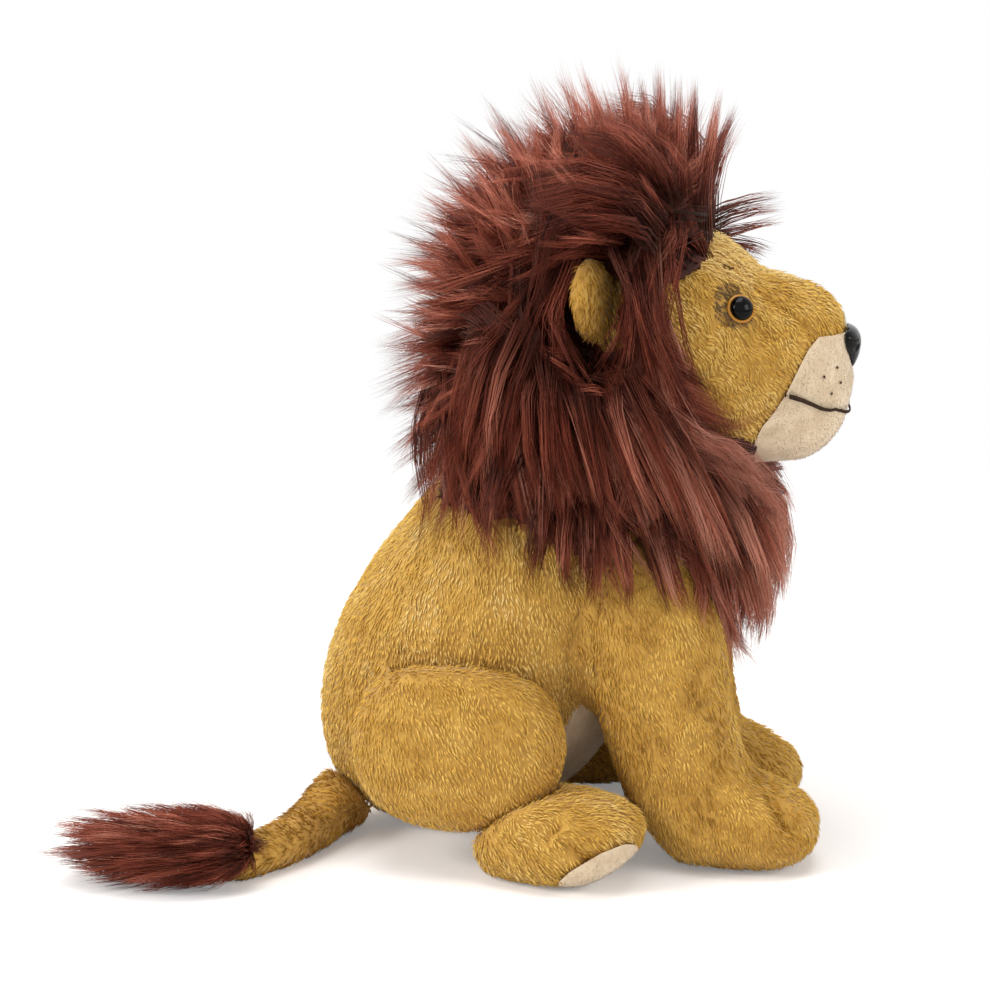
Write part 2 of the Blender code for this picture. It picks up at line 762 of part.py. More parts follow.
def hole_profile(seat=0.0):
    """The hole for a stem through the cloth, with a shallow seat for what sits on it."""
    half = STEM_DIAMETER / 2 + SEAM
    far = STEM_LENGTH + OVERRUN
    points = [(0, -far), (half, -far)]
    if seat:
        points += [(half, -SEAM), (seat / 2 + SEAM, -SEAM), (seat / 2 + SEAM, OVERRUN)]
    else:
        points.append((half, OVERRUN))
    return points + [(0, OVERRUN)]


def make_eye(side, word, black, plastic, head, stuffing, skin):
    """An eye on the skin, its washer, and their holes in the head and the filling."""
    inside = head_point(EYE_FORWARD_SHARE, EYE_UP_SHARE)
    hit, aim = skin.ray_cast(inside, Vector((0, side, 0)))[:2]
    aim = (aim + Vector((0, side * EYE_ASIDE_SHARE, 0))).normalized()
    at = hit + aim * SEAM
    print("eye", word, [round(v, 4) for v in at], [round(v, 3) for v in aim])
    depth = CLOTH + WASHER_STANDOFF
    turned(f"eye_{word}", eye_profile(), at, aim, black)
    turned(f"eye_washer_{word}", washer_profile(depth), at, aim, plastic)
    cut(head, cutter(turned(f"eye_hole_{word}", hole_profile(EYE_DIAMETER), at, aim)))
    cut(stuffing, cutter(turned(f"eye_socket_{word}", socket_profile(depth), at, aim)))


def make_nose(black, plastic, head, muzzle, stuffing, skin):
    """The moulded nose with its two nostrils, stem and washer."""
    inside = head_point(EYE_FORWARD_SHARE, NOSE_UP_SHARE)
    hit = skin.ray_cast(inside, Vector((1, 0, 0)))[0]
    middle = hit + Vector((NOSE_OUT_SHARE * NOSE_DEPTH - NOSE_DEPTH / 2, 0, 0))
    low = middle.z - NOSE_LOW_SHARE * NOSE_HEIGHT
    rings = []
    for up, forward, deep, wide in NOSE_SHARES:
        centre = (middle.x + forward * NOSE_DEPTH, 0, low + up * NOSE_HEIGHT)
        rings.append(Ring(centre, (0, wide * NOSE_WIDTH / 2, 0), (deep * NOSE_DEPTH / 2, 0, 0)))
    start = Vector((rings[0].middle.x, 0, low))
    end = Vector((rings[-1].middle.x, 0, low + NOSE_HEIGHT))
    nose = loft("nose", rings, start, end, NOSE_SIDES, black)
    cut(nose, cutter(head_form("nose_seat", SEAM)))
    for side, word in ((RIGHT, "right"), (LEFT, "left")):
        out = side * NOSTRIL_OUT_SHARE * NOSE_WIDTH
        at = Vector((middle.x + NOSE_DEPTH / 2, out, low + NOSTRIL_UP_SHARE * NOSE_HEIGHT))
        cut(nose, nostril(f"nostril_{word}", at))
    depth = CLOTH + WASHER_STANDOFF
    aim = Vector((1, 0, 0))
    reach = NOSE_DEPTH / 2 - NOSTRIL_DIAMETER / 2
    post = stem_profile(STEM_LENGTH)[:2] + [(STEM_DIAMETER / 2, reach), (0, reach)]
    stem = turned("nose_stem", post, hit, aim)
    cut(nose, cutter(stem), "UNION")
    turned("nose_washer", washer_profile(depth), hit, aim, plastic)
    hole = cutter(turned("nose_hole", hole_profile(), hit, aim))
    cut(head, hole)
    cut(muzzle, hole)
    cut(stuffing, cutter(turned("nose_socket", socket_profile(depth), hit, aim)))


def nostril(name, at):
    bm = bmesh.new()
    turns, rows = NOSTRIL_SEGMENTS
    bmesh.ops.create_uvsphere(bm, u_segments=turns, v_segments=rows, radius=NOSTRIL_DIAMETER / 2)
    bmesh.ops.translate(bm, vec=at, verts=bm.verts)
    return cutter(new_object(name, bm, None))


def ear_frame(side, skin):
    """Where an ear is sewn on: x runs out along the ear, y through it, z up along its base."""
    inside = head_point(EAR_FORWARD_SHARE, EAR_UP_SHARE)
    hit = skin.ray_cast(inside, Vector((0, side, 0)))[0]
    base = Vector((0, -side * math.sin(EAR_LEAN), math.cos(EAR_LEAN)))
    flat = Vector((-math.sin(EAR_SWEEP), side * math.cos(EAR_SWEEP), 0))
    out = (flat - base * flat.dot(base)).normalized()
    front = base.cross(out)
    at = hit + out * (EAR_BEAD / 2)
    frame = Matrix((out, front, base)).transposed().to_4x4()
    frame.translation = at
    return frame


def make_ear(side, word, tan, head, head_outside, skin):
    """An ear pad whose rounded base sits in a groove of the head, and the room that it folds through."""
    frame = ear_frame(side, skin)
    turn = frame.to_3x3()
    rings = []
    for out, height, thick in EAR_SHARES:
        middle = frame @ Vector((out * EAR_REACH, 0, 0))
        across = turn @ Vector((0, thick * EAR_THICKNESS / 2, 0))
        rise = turn @ Vector((0, 0, height * EAR_HEIGHT / 2))
        rings.append(Ring(middle, across, rise, -rise))
    start = frame @ Vector((-EAR_BEAD / 2, 0, 0))
    end = frame @ Vector((EAR_REACH, 0, 0))
    ear = loft(f"ear_{word}", rings, start, end, EAR_SIDES, tan)
    hinge = bpy.data.objects.new(f"ear_hinge_{word}", None)
    bpy.context.collection.objects.link(hinge)
    hinge.matrix_world = frame
    ear.data.transform(frame.inverted())
    ear.parent = hinge
    groove = loft(f"ear_groove_{word}", rings[:2], start, rings[2].middle, EAR_SIDES, None, 2 * SEAM)
    cut(head, cutter(groove))
    return frame


def ear_pocket(side, word, frame):
    """The sector that an ear sweeps as it folds back, and the room round its base."""
    reach = EAR_REACH + POCKET_ROOM
    tall = EAR_HEIGHT / 2 + POCKET_ROOM
    along, up = POCKET_CORNER_SHARES
    corner = [(along * reach, tall), (reach, up * tall)]
    outline = [(0, tall)] + corner + [(x, -z) for x, z in corner[::-1]] + [(0, -tall)]
    bm = bmesh.new()
    face = bm.faces.new([bm.verts.new((x, 0, z)) for x, z in outline])
    spare = math.atan((EAR_THICKNESS / 2 + POCKET_ROOM) / (EAR_REACH / 2))
    bmesh.ops.rotate(bm, cent=(0, 0, 0), matrix=Matrix.Rotation(side * -spare, 3, "Z"), verts=bm.verts)
    sweep = side * (2 * spare + EAR_FOLD)
    bmesh.ops.spin(bm, geom=[face], axis=(0, 0, 1), cent=(0, 0, 0), angle=sweep, steps=POCKET_STEPS)
    bmesh.ops.remove_doubles(bm, verts=bm.verts, dist=MERGE)
    bmesh.ops.holes_fill(bm, edges=bm.edges)
    bmesh.ops.transform(bm, matrix=frame, verts=bm.verts)
    sector = cutter(new_object(f"ear_pocket_{word}", bm, None))
    end = tall + POST_SPARE
    post = [(0, -end), (POST_RADIUS, -end), (POST_RADIUS, end), (0, end)]
    around = cutter(turned(f"ear_post_{word}", post, frame.translation, frame.col[2].xyz))
    return ear_window(side, word, frame), sector, around


def ear_window(side, word, frame):
    """The flared opening in the pile through which an ear shows."""
    rings = []
    for out, length, height in WINDOW_SHARES:
        middle = frame @ Vector((WINDOW_AT_SHARE * EAR_REACH, 0, 0))
        middle.y += side * out * EAR_REACH
        rings.append(Ring(middle, (length * EAR_REACH, 0, 0), (0, 0, height * EAR_HEIGHT)))
    start = rings[0].middle - Vector((0, side * OVERRUN, 0))
    end = rings[-1].middle + Vector((0, side * OVERRUN, 0))
    return cutter(loft(f"ear_window_{word}", rings, start, end, WINDOW_SIDES))


def mane_form(name, material=None):
    """The lapped ruff round the head."""
    rings = []
    middle = TORSO_HEIGHT + HEAD_UP
    for forward, top, bottom, wide in MANE_SHARES:
        centre = (MANE_BACK + forward * MANE_LENGTH, 0, middle)
        fall = (0, 0, -bottom * MANE_DROP)
        across = (0, wide * MANE_WIDTH / 2, 0)
        rings.append(Ring(centre, across, (0, 0, top * MANE_RISE), fall, 1, MANE_LOW_SQUARE_SHARE))
    start = Vector((MANE_BACK, 0, middle))
    end = Vector((MANE_BACK + MANE_LENGTH, 0, middle))
    trail = Vector((-LOCK_TRAIL, 0, 0))
    return loft(name, rings, start, end, 0, material, 0, MANE_LOCKS, trail)


def bib_form(name, material=None):
    """The lapped bib that hangs from the jaw over the chest."""
    rings = []
    high = BIB_TOP_SHARE * TORSO_HEIGHT
    for down, forward, deep, wide in BIB_SHARES:
        centre = (forward * TORSO_DEPTH, 0, high - down * BIB_LENGTH)
        rings.append(Ring(centre, (0, wide * BIB_WIDTH / 2, 0), (deep * BIB_DEPTH / 2, 0, 0)))
    start = Vector((rings[0].middle.x, 0, high))
    end = Vector((rings[-1].middle.x, 0, high - BIB_LENGTH))
    trail = Vector((0, 0, -LOCK_TRAIL))
    return loft(name, rings, start, end, 0, material, 0, BIB_LOCKS, trail)


def crown_slab(name, gap):
    """The middle strip of the mane."""
    half = CROWN_WIDTH / 2 + gap
    reach = MANE_LENGTH + MANE_RISE
    low = TORSO_HEIGHT - MANE_DROP
    return box(name, (-reach, -half, low), (reach, half, low + 2 * reach))


def chest_block():
    """The room under the head in front of the neck, where the crown strip doesn't reach."""
    reach = MANE_LENGTH + MANE_RISE
    back = CROWN_FRONT_SHARE * TORSO_DEPTH
    return box("chest_block", (back, -reach, -reach), (2 * reach, reach, TORSO_HEIGHT + HEAD_UP))


def bib_wedge(name, gap):
    """What lies in front of and below the slanted seam between bib and ruff."""
    span = 2 * (MANE_LENGTH + MANE_RISE)
    bm = bmesh.new()
    bmesh.ops.create_cube(bm, size=span)
    bmesh.ops.translate(bm, vec=(span / 2 - gap, 0, 0), verts=bm.verts)
    bmesh.ops.rotate(bm, cent=(0, 0, 0), matrix=Matrix.Rotation(BIB_SEAM_TILT, 3, "Y"), verts=bm.verts)
    at = Vector((BIB_SEAM_SHARE * TORSO_DEPTH, 0, TORSO_HEIGHT))
    bmesh.ops.translate(bm, vec=at, verts=bm.verts)
    return cutter(new_object(name, bm, None))


def side_block(side, gap):
    """All that lies on the other side of the crown strip."""
    reach = MANE_LENGTH + MANE_RISE + TORSO_HEIGHT
    word = "left" if side == LEFT else "right"
    edge = side * (CROWN_WIDTH / 2 + gap)
    low, high = (-reach, edge) if side == LEFT else (edge, reach)
    return box(f"mane_side_{word}", (-reach, low, -reach), (reach, high, 2 * reach))


def make_mane(fur, head_outside, torso_outside, leg_outsides, pockets):
    """Four panels of long pile: a crown strip, two sides with room for the ears, and a bib."""
    face = head_prism("face_opening", FACE_SHARES)
    wedge = bib_wedge("bib_cutter", 0)
    wedge_gap = bib_wedge("bib_gap", SEAM)
    bib = bib_form("mane_bib", fur)
    cut(bib, torso_outside)
    for tool in leg_outsides.values():
        cut(bib, tool)
    cut(bib, wedge, "INTERSECT")
    crown = mane_form("mane_crown", fur)
    cut(crown, torso_outside)
    cut(crown, crown_slab("crown_cutter", 0), "INTERSECT")
    cut(crown, chest_block())
    panels = [bib, crown]
    for side, word in ((RIGHT, "right"), (LEFT, "left")):
        panel = mane_form(f"mane_{word}", fur)
        cut(panel, torso_outside)
        cut(panel, leg_outsides[side])
        cut(panel, side_block(side, SEAM))
        for tool in pockets[side]:
            cut(panel, tool)
        cut(panel, wedge_gap)
        panels.append(panel)
    for panel in panels:
        cut(panel, head_outside)
        cut(panel, face)


def tail_points():
    """The middle of the tail from inside the rump to inside the tuft, in shares of its length."""
    root = Vector((TAIL_ROOT_SHARE * TORSO_DEPTH, 0, 0))
    points = []
    for back, aside, middle, _ in TAIL_SHARES:
        lift = middle * TAIL_THICKNESS
        points.append(root + Vector((-back * TAIL_LENGTH, aside * TAIL_LENGTH, lift)))
    return points


def level_side(heading):
    return heading.cross(Vector((0, 0, 1))).normalized()


def make_tail(tan, fur, torso_outside, floor):
    """The tail and its tuft, on a hinge at the top of the tail's root."""
    points = tail_points()
    thick = [row[3] * TAIL_THICKNESS for row in TAIL_SHARES]
    rings = along_path(points, thick, thick, level_side)
    start = points[0] + (points[0] - points[1]).normalized() * POLE_SHARE * thick[0]
    end = points[-1] + (points[-1] - points[-2]).normalized() * POLE_SHARE * thick[-1]
    tail = loft("tail", rings, start, end, TAIL_SIDES, tan)
    tail_outside = cutter(loft("tail_outside", rings, start, end, TAIL_SIDES, None, SEAM))
    cut(tail, torso_outside)
    cut(tail, floor)
    tuft = make_tuft(fur, points, tail_outside, floor)
    back, aside, up = TAIL_HINGE_SHARES
    root = Vector((back * TORSO_DEPTH, aside * TORSO_DEPTH, up * TAIL_THICKNESS))
    hinge = bpy.data.objects.new("tail_hinge", None)
    bpy.context.collection.objects.link(hinge)
    hinge.location = root
    for ob in (tail, tuft):
        ob.data.transform(Matrix.Translation(-root))
        ob.parent = hinge
    print("tail hinge", [round(v, 5) for v in root])


def make_tuft(fur, points, tail_outside, floor):
    """The long pile at the tail's end."""
    along = Vector((math.cos(TUFT_HEADING), math.sin(TUFT_HEADING), 0))
    aside = Vector((-along.y, along.x, 0))
    start = points[round(TUFT_START_SHARE * (len(points) - 1))].copy()
    start.z = 0
    spine, thick = [], []
    for forward, sideways, middle, thickness in TUFT_SHARES:
        lift = Vector((0, 0, middle * TUFT_THICKNESS))
        spine.append(start + along * forward * TUFT_LENGTH - aside * sideways * TUFT_LENGTH + lift)
        thick.append(thickness * TUFT_THICKNESS)
    wide = [row[3] * TUFT_WIDTH for row in TUFT_SHARES]
    rings = along_path(spine, thick, wide, level_side)
    pole = spine[0] - along * POLE_SHARE * thick[0]
    tip = spine[-1] + (spine[-1] - spine[-2]).normalized() * thick[-1] / 2
    tuft = loft("tail_tuft", rings, pole, tip, 0, fur, 0, TUFT_LOCKS, along * LOCK_TRAIL)
    cut(tuft, tail_outside)
    cut(tuft, floor)
    return tuft


def main():
    clear_scene()
    tan = colour("golden plush", "B8923F", 0.95, 0.3)
    cream = colour("cream plush", "E4CFAE", 0.95, 0.2)
    fur = colour("red-brown long pile", "5A2A22", 0.8, 0.2)
    fill = colour("polyester filling", "F2F0EA", 1.0)
    black = colour("black moulded plastic", "0C0A09", 0.08)
    plastic = colour("white moulded plastic", "E6E4DE", 0.45)

    floor = under_floor()
    torso, torso_outside = make_torso(tan, cream, fill, floor)
    head, muzzle, stuffing = make_head(tan, cream, fill, torso_outside)
    head_outside = cutter(head_form("head_outside", SEAM))
    skin = surface(head_outside)
    legs, frames, pockets = {}, {}, {}
    for side, word in ((RIGHT, "right"), (LEFT, "left")):
        legs[side] = make_front_leg(side, word, tan, torso_outside, floor)
        thigh_outside = make_thigh(side, word, tan, torso_outside)
        neighbours = (thigh_outside, torso_outside, legs[side])
        make_hind_foot(side, word, tan, cream, neighbours, floor)
        make_eye(side, word, black, plastic, head, stuffing, skin)
        frames[side] = make_ear(side, word, tan, head, head_outside, skin)
        pockets[side] = ear_pocket(side, word, frames[side])
        print("ear hinge", word, [round(v, 5) for v in frames[side].translation])
        print("ear axis", word, [round(v, 5) for v in frames[side].col[2][:3]])
    make_nose(black, plastic, head, muzzle, stuffing, skin)
    make_mane(fur, head_outside, torso_outside, legs, pockets)
    make_tail(tan, fur, torso_outside, floor)


main()
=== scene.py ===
# %% [markdown]
# # A plush lion, dressed
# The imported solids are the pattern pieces: they fix where everything is and how large.
# Here each one is covered with what the eye sees on the real toy: short golden pile,
# shorn cream velour, long russet pile, glossy plastic and thread.

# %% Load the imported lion
import math

import bmesh
import bpy
import numpy as np
from mathutils import Matrix, Vector
from mathutils.bvhtree import BVHTree


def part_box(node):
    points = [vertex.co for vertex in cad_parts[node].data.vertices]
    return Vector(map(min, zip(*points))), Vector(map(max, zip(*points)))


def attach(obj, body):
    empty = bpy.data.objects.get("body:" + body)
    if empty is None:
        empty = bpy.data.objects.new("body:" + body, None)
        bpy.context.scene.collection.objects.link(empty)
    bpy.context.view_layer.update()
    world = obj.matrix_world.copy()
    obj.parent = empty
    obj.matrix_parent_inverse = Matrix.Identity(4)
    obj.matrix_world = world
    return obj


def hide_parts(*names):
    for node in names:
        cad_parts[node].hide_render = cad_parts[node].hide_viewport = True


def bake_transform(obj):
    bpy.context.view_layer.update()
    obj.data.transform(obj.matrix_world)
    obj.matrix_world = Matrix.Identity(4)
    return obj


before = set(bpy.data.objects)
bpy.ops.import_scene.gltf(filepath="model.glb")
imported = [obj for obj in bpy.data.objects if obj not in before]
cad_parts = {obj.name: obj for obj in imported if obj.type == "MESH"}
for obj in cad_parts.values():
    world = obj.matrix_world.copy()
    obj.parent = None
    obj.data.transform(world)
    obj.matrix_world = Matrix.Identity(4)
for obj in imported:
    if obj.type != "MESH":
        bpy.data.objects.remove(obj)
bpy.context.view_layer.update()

# %% [markdown]
# ## Camera, floor and light
# The photograph is a studio shot on a white sweep, taken from a little above the toy's side.
# A long lens keeps the outline close to a side view.

# %% Camera and how it sees
PHOTO_SIDE = 990
CAMERA_AZIMUTH = math.radians(8.0)
CAMERA_RISE = math.radians(12.5)
CAMERA_DISTANCE = 1.1
CAMERA_TARGET = Vector((0.0239, 0.0, 0.1248))
LENS_MM = 109.6
SENSOR_MM = 36.0

into = Vector((-math.sin(CAMERA_AZIMUTH) * math.cos(CAMERA_RISE),
               math.cos(CAMERA_AZIMUTH) * math.cos(CAMERA_RISE),
               -math.sin(CAMERA_RISE)))
camera_data = bpy.data.cameras.new("camera")
camera_data.lens = LENS_MM
camera_data.sensor_width = SENSOR_MM
camera = bpy.data.objects.new("camera", camera_data)
camera.location = CAMERA_TARGET - into * CAMERA_DISTANCE
camera.rotation_euler = into.to_track_quat("-Z", "Y").to_euler()
bpy.context.scene.collection.objects.link(camera)
bpy.context.scene.camera = camera
bpy.context.scene.view_settings.view_transform = "Standard"

screen_right = into.cross(Vector((0, 0, 1))).normalized()
screen_up = screen_right.cross(into).normalized()
print("camera at", [round(value, 4) for value in camera.location])


def sight(across, down):
    """The direction in which the camera sees one pixel of the photograph."""
    pixels = LENS_MM / SENSOR_MM * PHOTO_SIDE
    return (into + screen_right * ((across - PHOTO_SIDE / 2) / pixels)
            + screen_up * ((PHOTO_SIDE / 2 - down) / pixels)).normalized()


# %% [markdown]
# ## Nodes and colours
# Paint charts and photo editors give colours as sRGB hex, and Blender mixes them as
# linear light, so one function turns the first into the second.

# %% Colour and node helpers
def linear(chart):
    """An sRGB hex value as linear red, green, blue and alpha."""
    parts = [int(chart[place:place + 2], 16) / 255 for place in (1, 3, 5)]
    return [part / 12.92 if part <= 0.04045 else ((part + 0.055) / 1.055) ** 2.4
            for part in parts] + [1.0]


def add(tree, kind, inputs=None, stops=(), **settings):
    """Adds a node. An input given as another node's output is linked, any other is set.

    Stops are the (place, hex) pairs of a colour ramp.
    """
    made = tree.nodes.new(kind)
    for name, value in settings.items():
        setattr(made, name, value)
    for name, value in (inputs or {}).items():
        if isinstance(value, bpy.types.NodeSocket):
            tree.links.new(value, made.inputs[name])
        else:
            made.inputs[name].default_value = value
    if stops:
        elements = made.color_ramp.elements
        while len(elements) < len(stops):
            elements.new(0.5)
        for element, (place, chart) in zip(elements, stops):
            element.position = place
            element.color = linear(chart)
    return made


def new_material(name):
    """An empty material and its node tree."""
    made = bpy.data.materials.new(name)
    made.use_nodes = True
    made.node_tree.nodes.clear()
    return made, made.node_tree


# %% The white sweep and the lamps
FLOOR_HALF = 4.0
floor_mesh = bmesh.new()
bmesh.ops.create_grid(floor_mesh, x_segments=1, y_segments=1, size=FLOOR_HALF)
floor_data = bpy.data.meshes.new("floor")
floor_mesh.to_mesh(floor_data)
floor_mesh.free()
floor = bpy.data.objects.new("floor", floor_data)
bpy.context.scene.collection.objects.link(floor)

# Matt white paper. What the camera sees of it is lifted to white, and the shadow stays.
paper, tree = new_material("Matt white studio paper")
path = add(tree, "ShaderNodeLightPath")
matt = add(tree, "ShaderNodeBsdfDiffuse", {"Color": linear("#F4F2F0")})
lift = add(tree, "ShaderNodeEmission", {"Color": linear("#FFFFFF"), "Strength": 0.20})
near_toy = add(tree, "ShaderNodeAddShader", {0: matt.outputs[0], 1: lift.outputs[0]})
bare = add(tree, "ShaderNodeEmission", {"Color": linear("#FFFFFF"), "Strength": 1.0})
place = add(tree, "ShaderNodeTexCoord")
away = add(tree, "ShaderNodeVectorMath", {0: place.outputs["Object"]}, operation="LENGTH")
far = add(tree, "ShaderNodeMapRange", {"Value": away.outputs["Value"], "From Min": 0.3,
          "From Max": 0.75}, interpolation_type="SMOOTHSTEP")
both = add(tree, "ShaderNodeMixShader",
           {"Fac": far.outputs[0], 1: near_toy.outputs[0], 2: bare.outputs[0]})
seen = add(tree, "ShaderNodeMixShader",
           {"Fac": path.outputs["Is Camera Ray"], 1: matt.outputs[0], 2: both.outputs[0]})
add(tree, "ShaderNodeOutputMaterial", {"Surface": seen.outputs[0]})
floor_data.materials.append(paper)

world = bpy.data.worlds.new("studio")
bpy.context.scene.world = world
world.use_nodes = True
tree = world.node_tree
tree.nodes.clear()
path = add(tree, "ShaderNodeLightPath")
direct = add(tree, "ShaderNodeMath", {0: path.outputs["Is Camera Ray"],
             1: path.outputs["Is Glossy Ray"]}, operation="MAXIMUM")
direct = add(tree, "ShaderNodeMath", {0: direct.outputs[0],
             1: path.outputs["Is Transmission Ray"]}, operation="MAXIMUM")
soft = add(tree, "ShaderNodeBackground", {"Color": linear("#FFFFFF"), "Strength": 0.44})
white = add(tree, "ShaderNodeBackground", {"Color": linear("#FFFFFF"), "Strength": 1.0})
mixed = add(tree, "ShaderNodeMixShader",
            {"Fac": direct.outputs[0], 1: soft.outputs[0], 2: white.outputs[0]})
add(tree, "ShaderNodeOutputWorld", {"Surface": mixed.outputs[0]})


def lamp(name, place, size, watts):
    """A square soft box that faces the toy."""
    data = bpy.data.lights.new(name, "AREA")
    data.size = size
    data.energy = watts
    made = bpy.data.objects.new(name, data)
    made.location = place
    aim = CAMERA_TARGET - Vector(place)
    made.rotation_euler = aim.to_track_quat("-Z", "Y").to_euler()
    bpy.context.scene.collection.objects.link(made)


lamp("overhead_box", (0.0, 0.0, 1.5), 1.0, 14.0)
lamp("left_box", (-1.2, -0.9, 0.9), 0.7, 19.0)
lamp("right_box", (1.3, -0.5, 0.7), 0.7, 7.5)
print("lamps", [light.name for light in bpy.data.lights])

# %% [markdown]
# ## Materials
# Minky is a knitted polyester with a sheared pile a few millimetres long. Each fibre is a
# little glossy, the field of them is soft: a pale velvet edge, dark between the clumps.
# Every tuft carries two numbers on its UV map, its own tone across and root to tip upward,
# so one material can colour a hundred thousand tufts, each a little differently.

# %% Pile materials
TONE_WIDTH = 0.012


def pile_material(name, tips, roots, turn, roughness, gloss, sheen, shine="#FFFFFF"):
    """Pile coloured by its UV map: tone across the map, root to tip up it."""
    made, tree = new_material(name)
    place = add(tree, "ShaderNodeUVMap", uv_map="OFBake")
    split = add(tree, "ShaderNodeSeparateXYZ", {0: place.outputs[0]})
    tip, root = (add(tree, "ShaderNodeValToRGB", {"Fac": split.outputs["X"]}, stops=stops)
                 for stops in (tips, roots))
    rise = add(tree, "ShaderNodeMapRange", {"Value": split.outputs["Y"], "From Min": 0.0,
               "From Max": turn}, interpolation_type="SMOOTHSTEP")
    mix = add(tree, "ShaderNodeMix", {0: rise.outputs[0], 6: root.outputs[0],
              7: tip.outputs[0]}, data_type="RGBA")
    shader = add(tree, "ShaderNodeBsdfPrincipled", {"Base Color": mix.outputs[2],
                 "Roughness": roughness, "Specular IOR Level": gloss,
                 "Specular Tint": linear(shine), "Sheen Weight": sheen,
                 "Sheen Roughness": 0.4})
    add(tree, "ShaderNodeOutputMaterial", {"Surface": shader.outputs[0]})
    return made


golden_pile = pile_material(
    "Sheared golden minky pile",
    [(0.0, "#8A5E1C"), (0.2, "#C49238"), (0.4, "#DCAE50"), (0.6, "#EAC266"),
     (0.8, "#F4D48C"), (0.84, "#6E563A"), (1.0, "#82684A")],
    [(0.0, "#6A4614"), (0.2, "#9A7028"), (0.6, "#C0963E"), (0.8, "#D6AE58"),
     (0.84, "#46341F"), (1.0, "#5A4630")],
    0.42, 0.65, 0.22, 0.08, "#FFE2A8")
cream_pile = pile_material(
    "Shorn cream velour pile",
    # The darkest stops, below 0.16, are the painted shade in the dimple round each whisker knot.
    [(0.0, "#8C6E4A"), (0.10, "#8C6E4A"), (0.16, "#D9C2A2"), (0.5, "#E6D3B8"),
     (1.0, "#F0E2CC")],
    [(0.0, "#7A5C3A"), (0.10, "#7A5C3A"), (0.16, "#C9B090"), (1.0, "#DCC6A8")],
    0.9, 0.75, 0.3, 0.2)
# The near-black roots are painted shade in the gaps between the locks.
russet_pile = pile_material(
    "Long russet acrylic pile",
    [(0.0, "#260C07"), (0.3, "#5C2418"), (0.55, "#8A4331"), (0.8, "#B96C55"),
     (1.0, "#DA9A84")],
    [(0.0, "#100402"), (0.5, "#30100A"), (1.0, "#5C281A")],
    0.72, 0.38, 0.55, 0.0, "#FFA892")
brown_thread = pile_material(
    "Brown embroidery thread",
    [(0.0, "#20140A"), (0.5, "#362313"), (1.0, "#4E361F")],
    [(0.0, "#20140A"), (1.0, "#3A2715")],
    1.0, 0.6, 0.2, 0.0)
print("pile materials", golden_pile.name, cream_pile.name, russet_pile.name)


# %% Cloth, thread and plastic
def cloth_material(name, low, high, patch_mm, grain_mm, depth_mm, sheen):
    """The knitted ground under a pile: mottled, with a fine grain in relief."""
    made, tree = new_material(name)
    place = add(tree, "ShaderNodeTexCoord")
    patches = add(tree, "ShaderNodeTexNoise", {"Vector": place.outputs["Object"],
                  "Scale": 1000 / patch_mm, "Detail": 3.0})
    grain = add(tree, "ShaderNodeTexNoise", {"Vector": place.outputs["Object"],
                "Scale": 1000 / grain_mm, "Detail": 4.0})
    colour = add(tree, "ShaderNodeValToRGB", {"Fac": patches.outputs["Fac"]},
                 stops=[(0.35, low), (0.65, high)])
    relief = add(tree, "ShaderNodeBump", {"Height": grain.outputs["Fac"], "Strength": 0.6,
                 "Distance": depth_mm / 1000})
    shader = add(tree, "ShaderNodeBsdfPrincipled", {"Base Color": colour.outputs[0],
                 "Roughness": 0.85, "Sheen Weight": sheen, "Sheen Roughness": 0.5,
                 "Normal": relief.outputs[0]})
    add(tree, "ShaderNodeOutputMaterial", {"Surface": shader.outputs[0]})
    return made


golden_ground = cloth_material("Golden knitted polyester ground", "#A87C2E", "#C2953E",
                               6.0, 1.2, 0.5, 0.2)
cream_ground = cloth_material("Cream knitted polyester ground", "#CDB594", "#DEC9AA",
                              7.0, 0.8, 0.25, 0.3)
# The backing is real, but its near-black colour is painted shade deep under the locks.
russet_ground = cloth_material("Russet knitted acrylic ground", "#2C0E07", "#4A1C10",
                               8.0, 1.5, 0.8, 0.0)
filling = cloth_material("Hollow polyester fibre filling", "#E4E1D8", "#F2F0EA",
                         9.0, 1.0, 0.6, 0.2)


def plastic_material(name, chart, roughness, gloss):
    """Moulded plastic: a plain colour, with the faint unevenness that moulding leaves."""
    made, tree = new_material(name)
    place = add(tree, "ShaderNodeTexCoord")
    waves = add(tree, "ShaderNodeTexNoise", {"Vector": place.outputs["Object"],
                "Scale": 1000 / 4.0, "Detail": 1.0})
    relief = add(tree, "ShaderNodeBump", {"Height": waves.outputs["Fac"], "Strength": 0.15,
                 "Distance": 0.0001})
    shader = add(tree, "ShaderNodeBsdfPrincipled", {"Base Color": linear(chart),
                 "Roughness": roughness, "Specular IOR Level": gloss,
                 "Normal": relief.outputs[0]})
    add(tree, "ShaderNodeOutputMaterial", {"Surface": shader.outputs[0]})
    return made


eye_black = plastic_material("Polished black acrylic", "#040303", 0.05, 0.13)
eye_amber = plastic_material("Amber painted acrylic", "#B87A1C", 0.18, 0.4)
nose_black = plastic_material("Polished brown-black plastic", "#0A0605", 0.08, 0.15)
washer_white = plastic_material("Moulded white polypropylene", "#E6E3DC", 0.45, 0.5)
print("materials", len(bpy.data.materials))

# %% [markdown]
# ## Skins
# A stuffed panel is a bag of cloth under gentle pressure from inside: it swells between its
# seams. Each skin starts as a copy of its solid, is remade as an even net, and is blown up a
# little as cloth, with a cap on how far it may move so that it stays in its own space.

# %% Skin helpers
SIM_FRAMES = 20
PRESSURE = 4.0
STIFFNESS = 25
BENDING = 0.2
MOST_SWELL = 0.0015
MOST_PROUD = 0.0008
MOST_SUNK = 0.0012
FLOOR_CLEAR = 0.0004
SKIN_ROUNDS = 6
FILLED_BY = {"torso": ["torso_stuffing"], "head": ["head_stuffing"]}
skins = {}


def points_of(mesh):
    """A mesh's corners as an array."""
    flat = np.empty(len(mesh.vertices) * 3)
    mesh.vertices.foreach_get("co", flat)
    return flat.reshape(-1, 3)


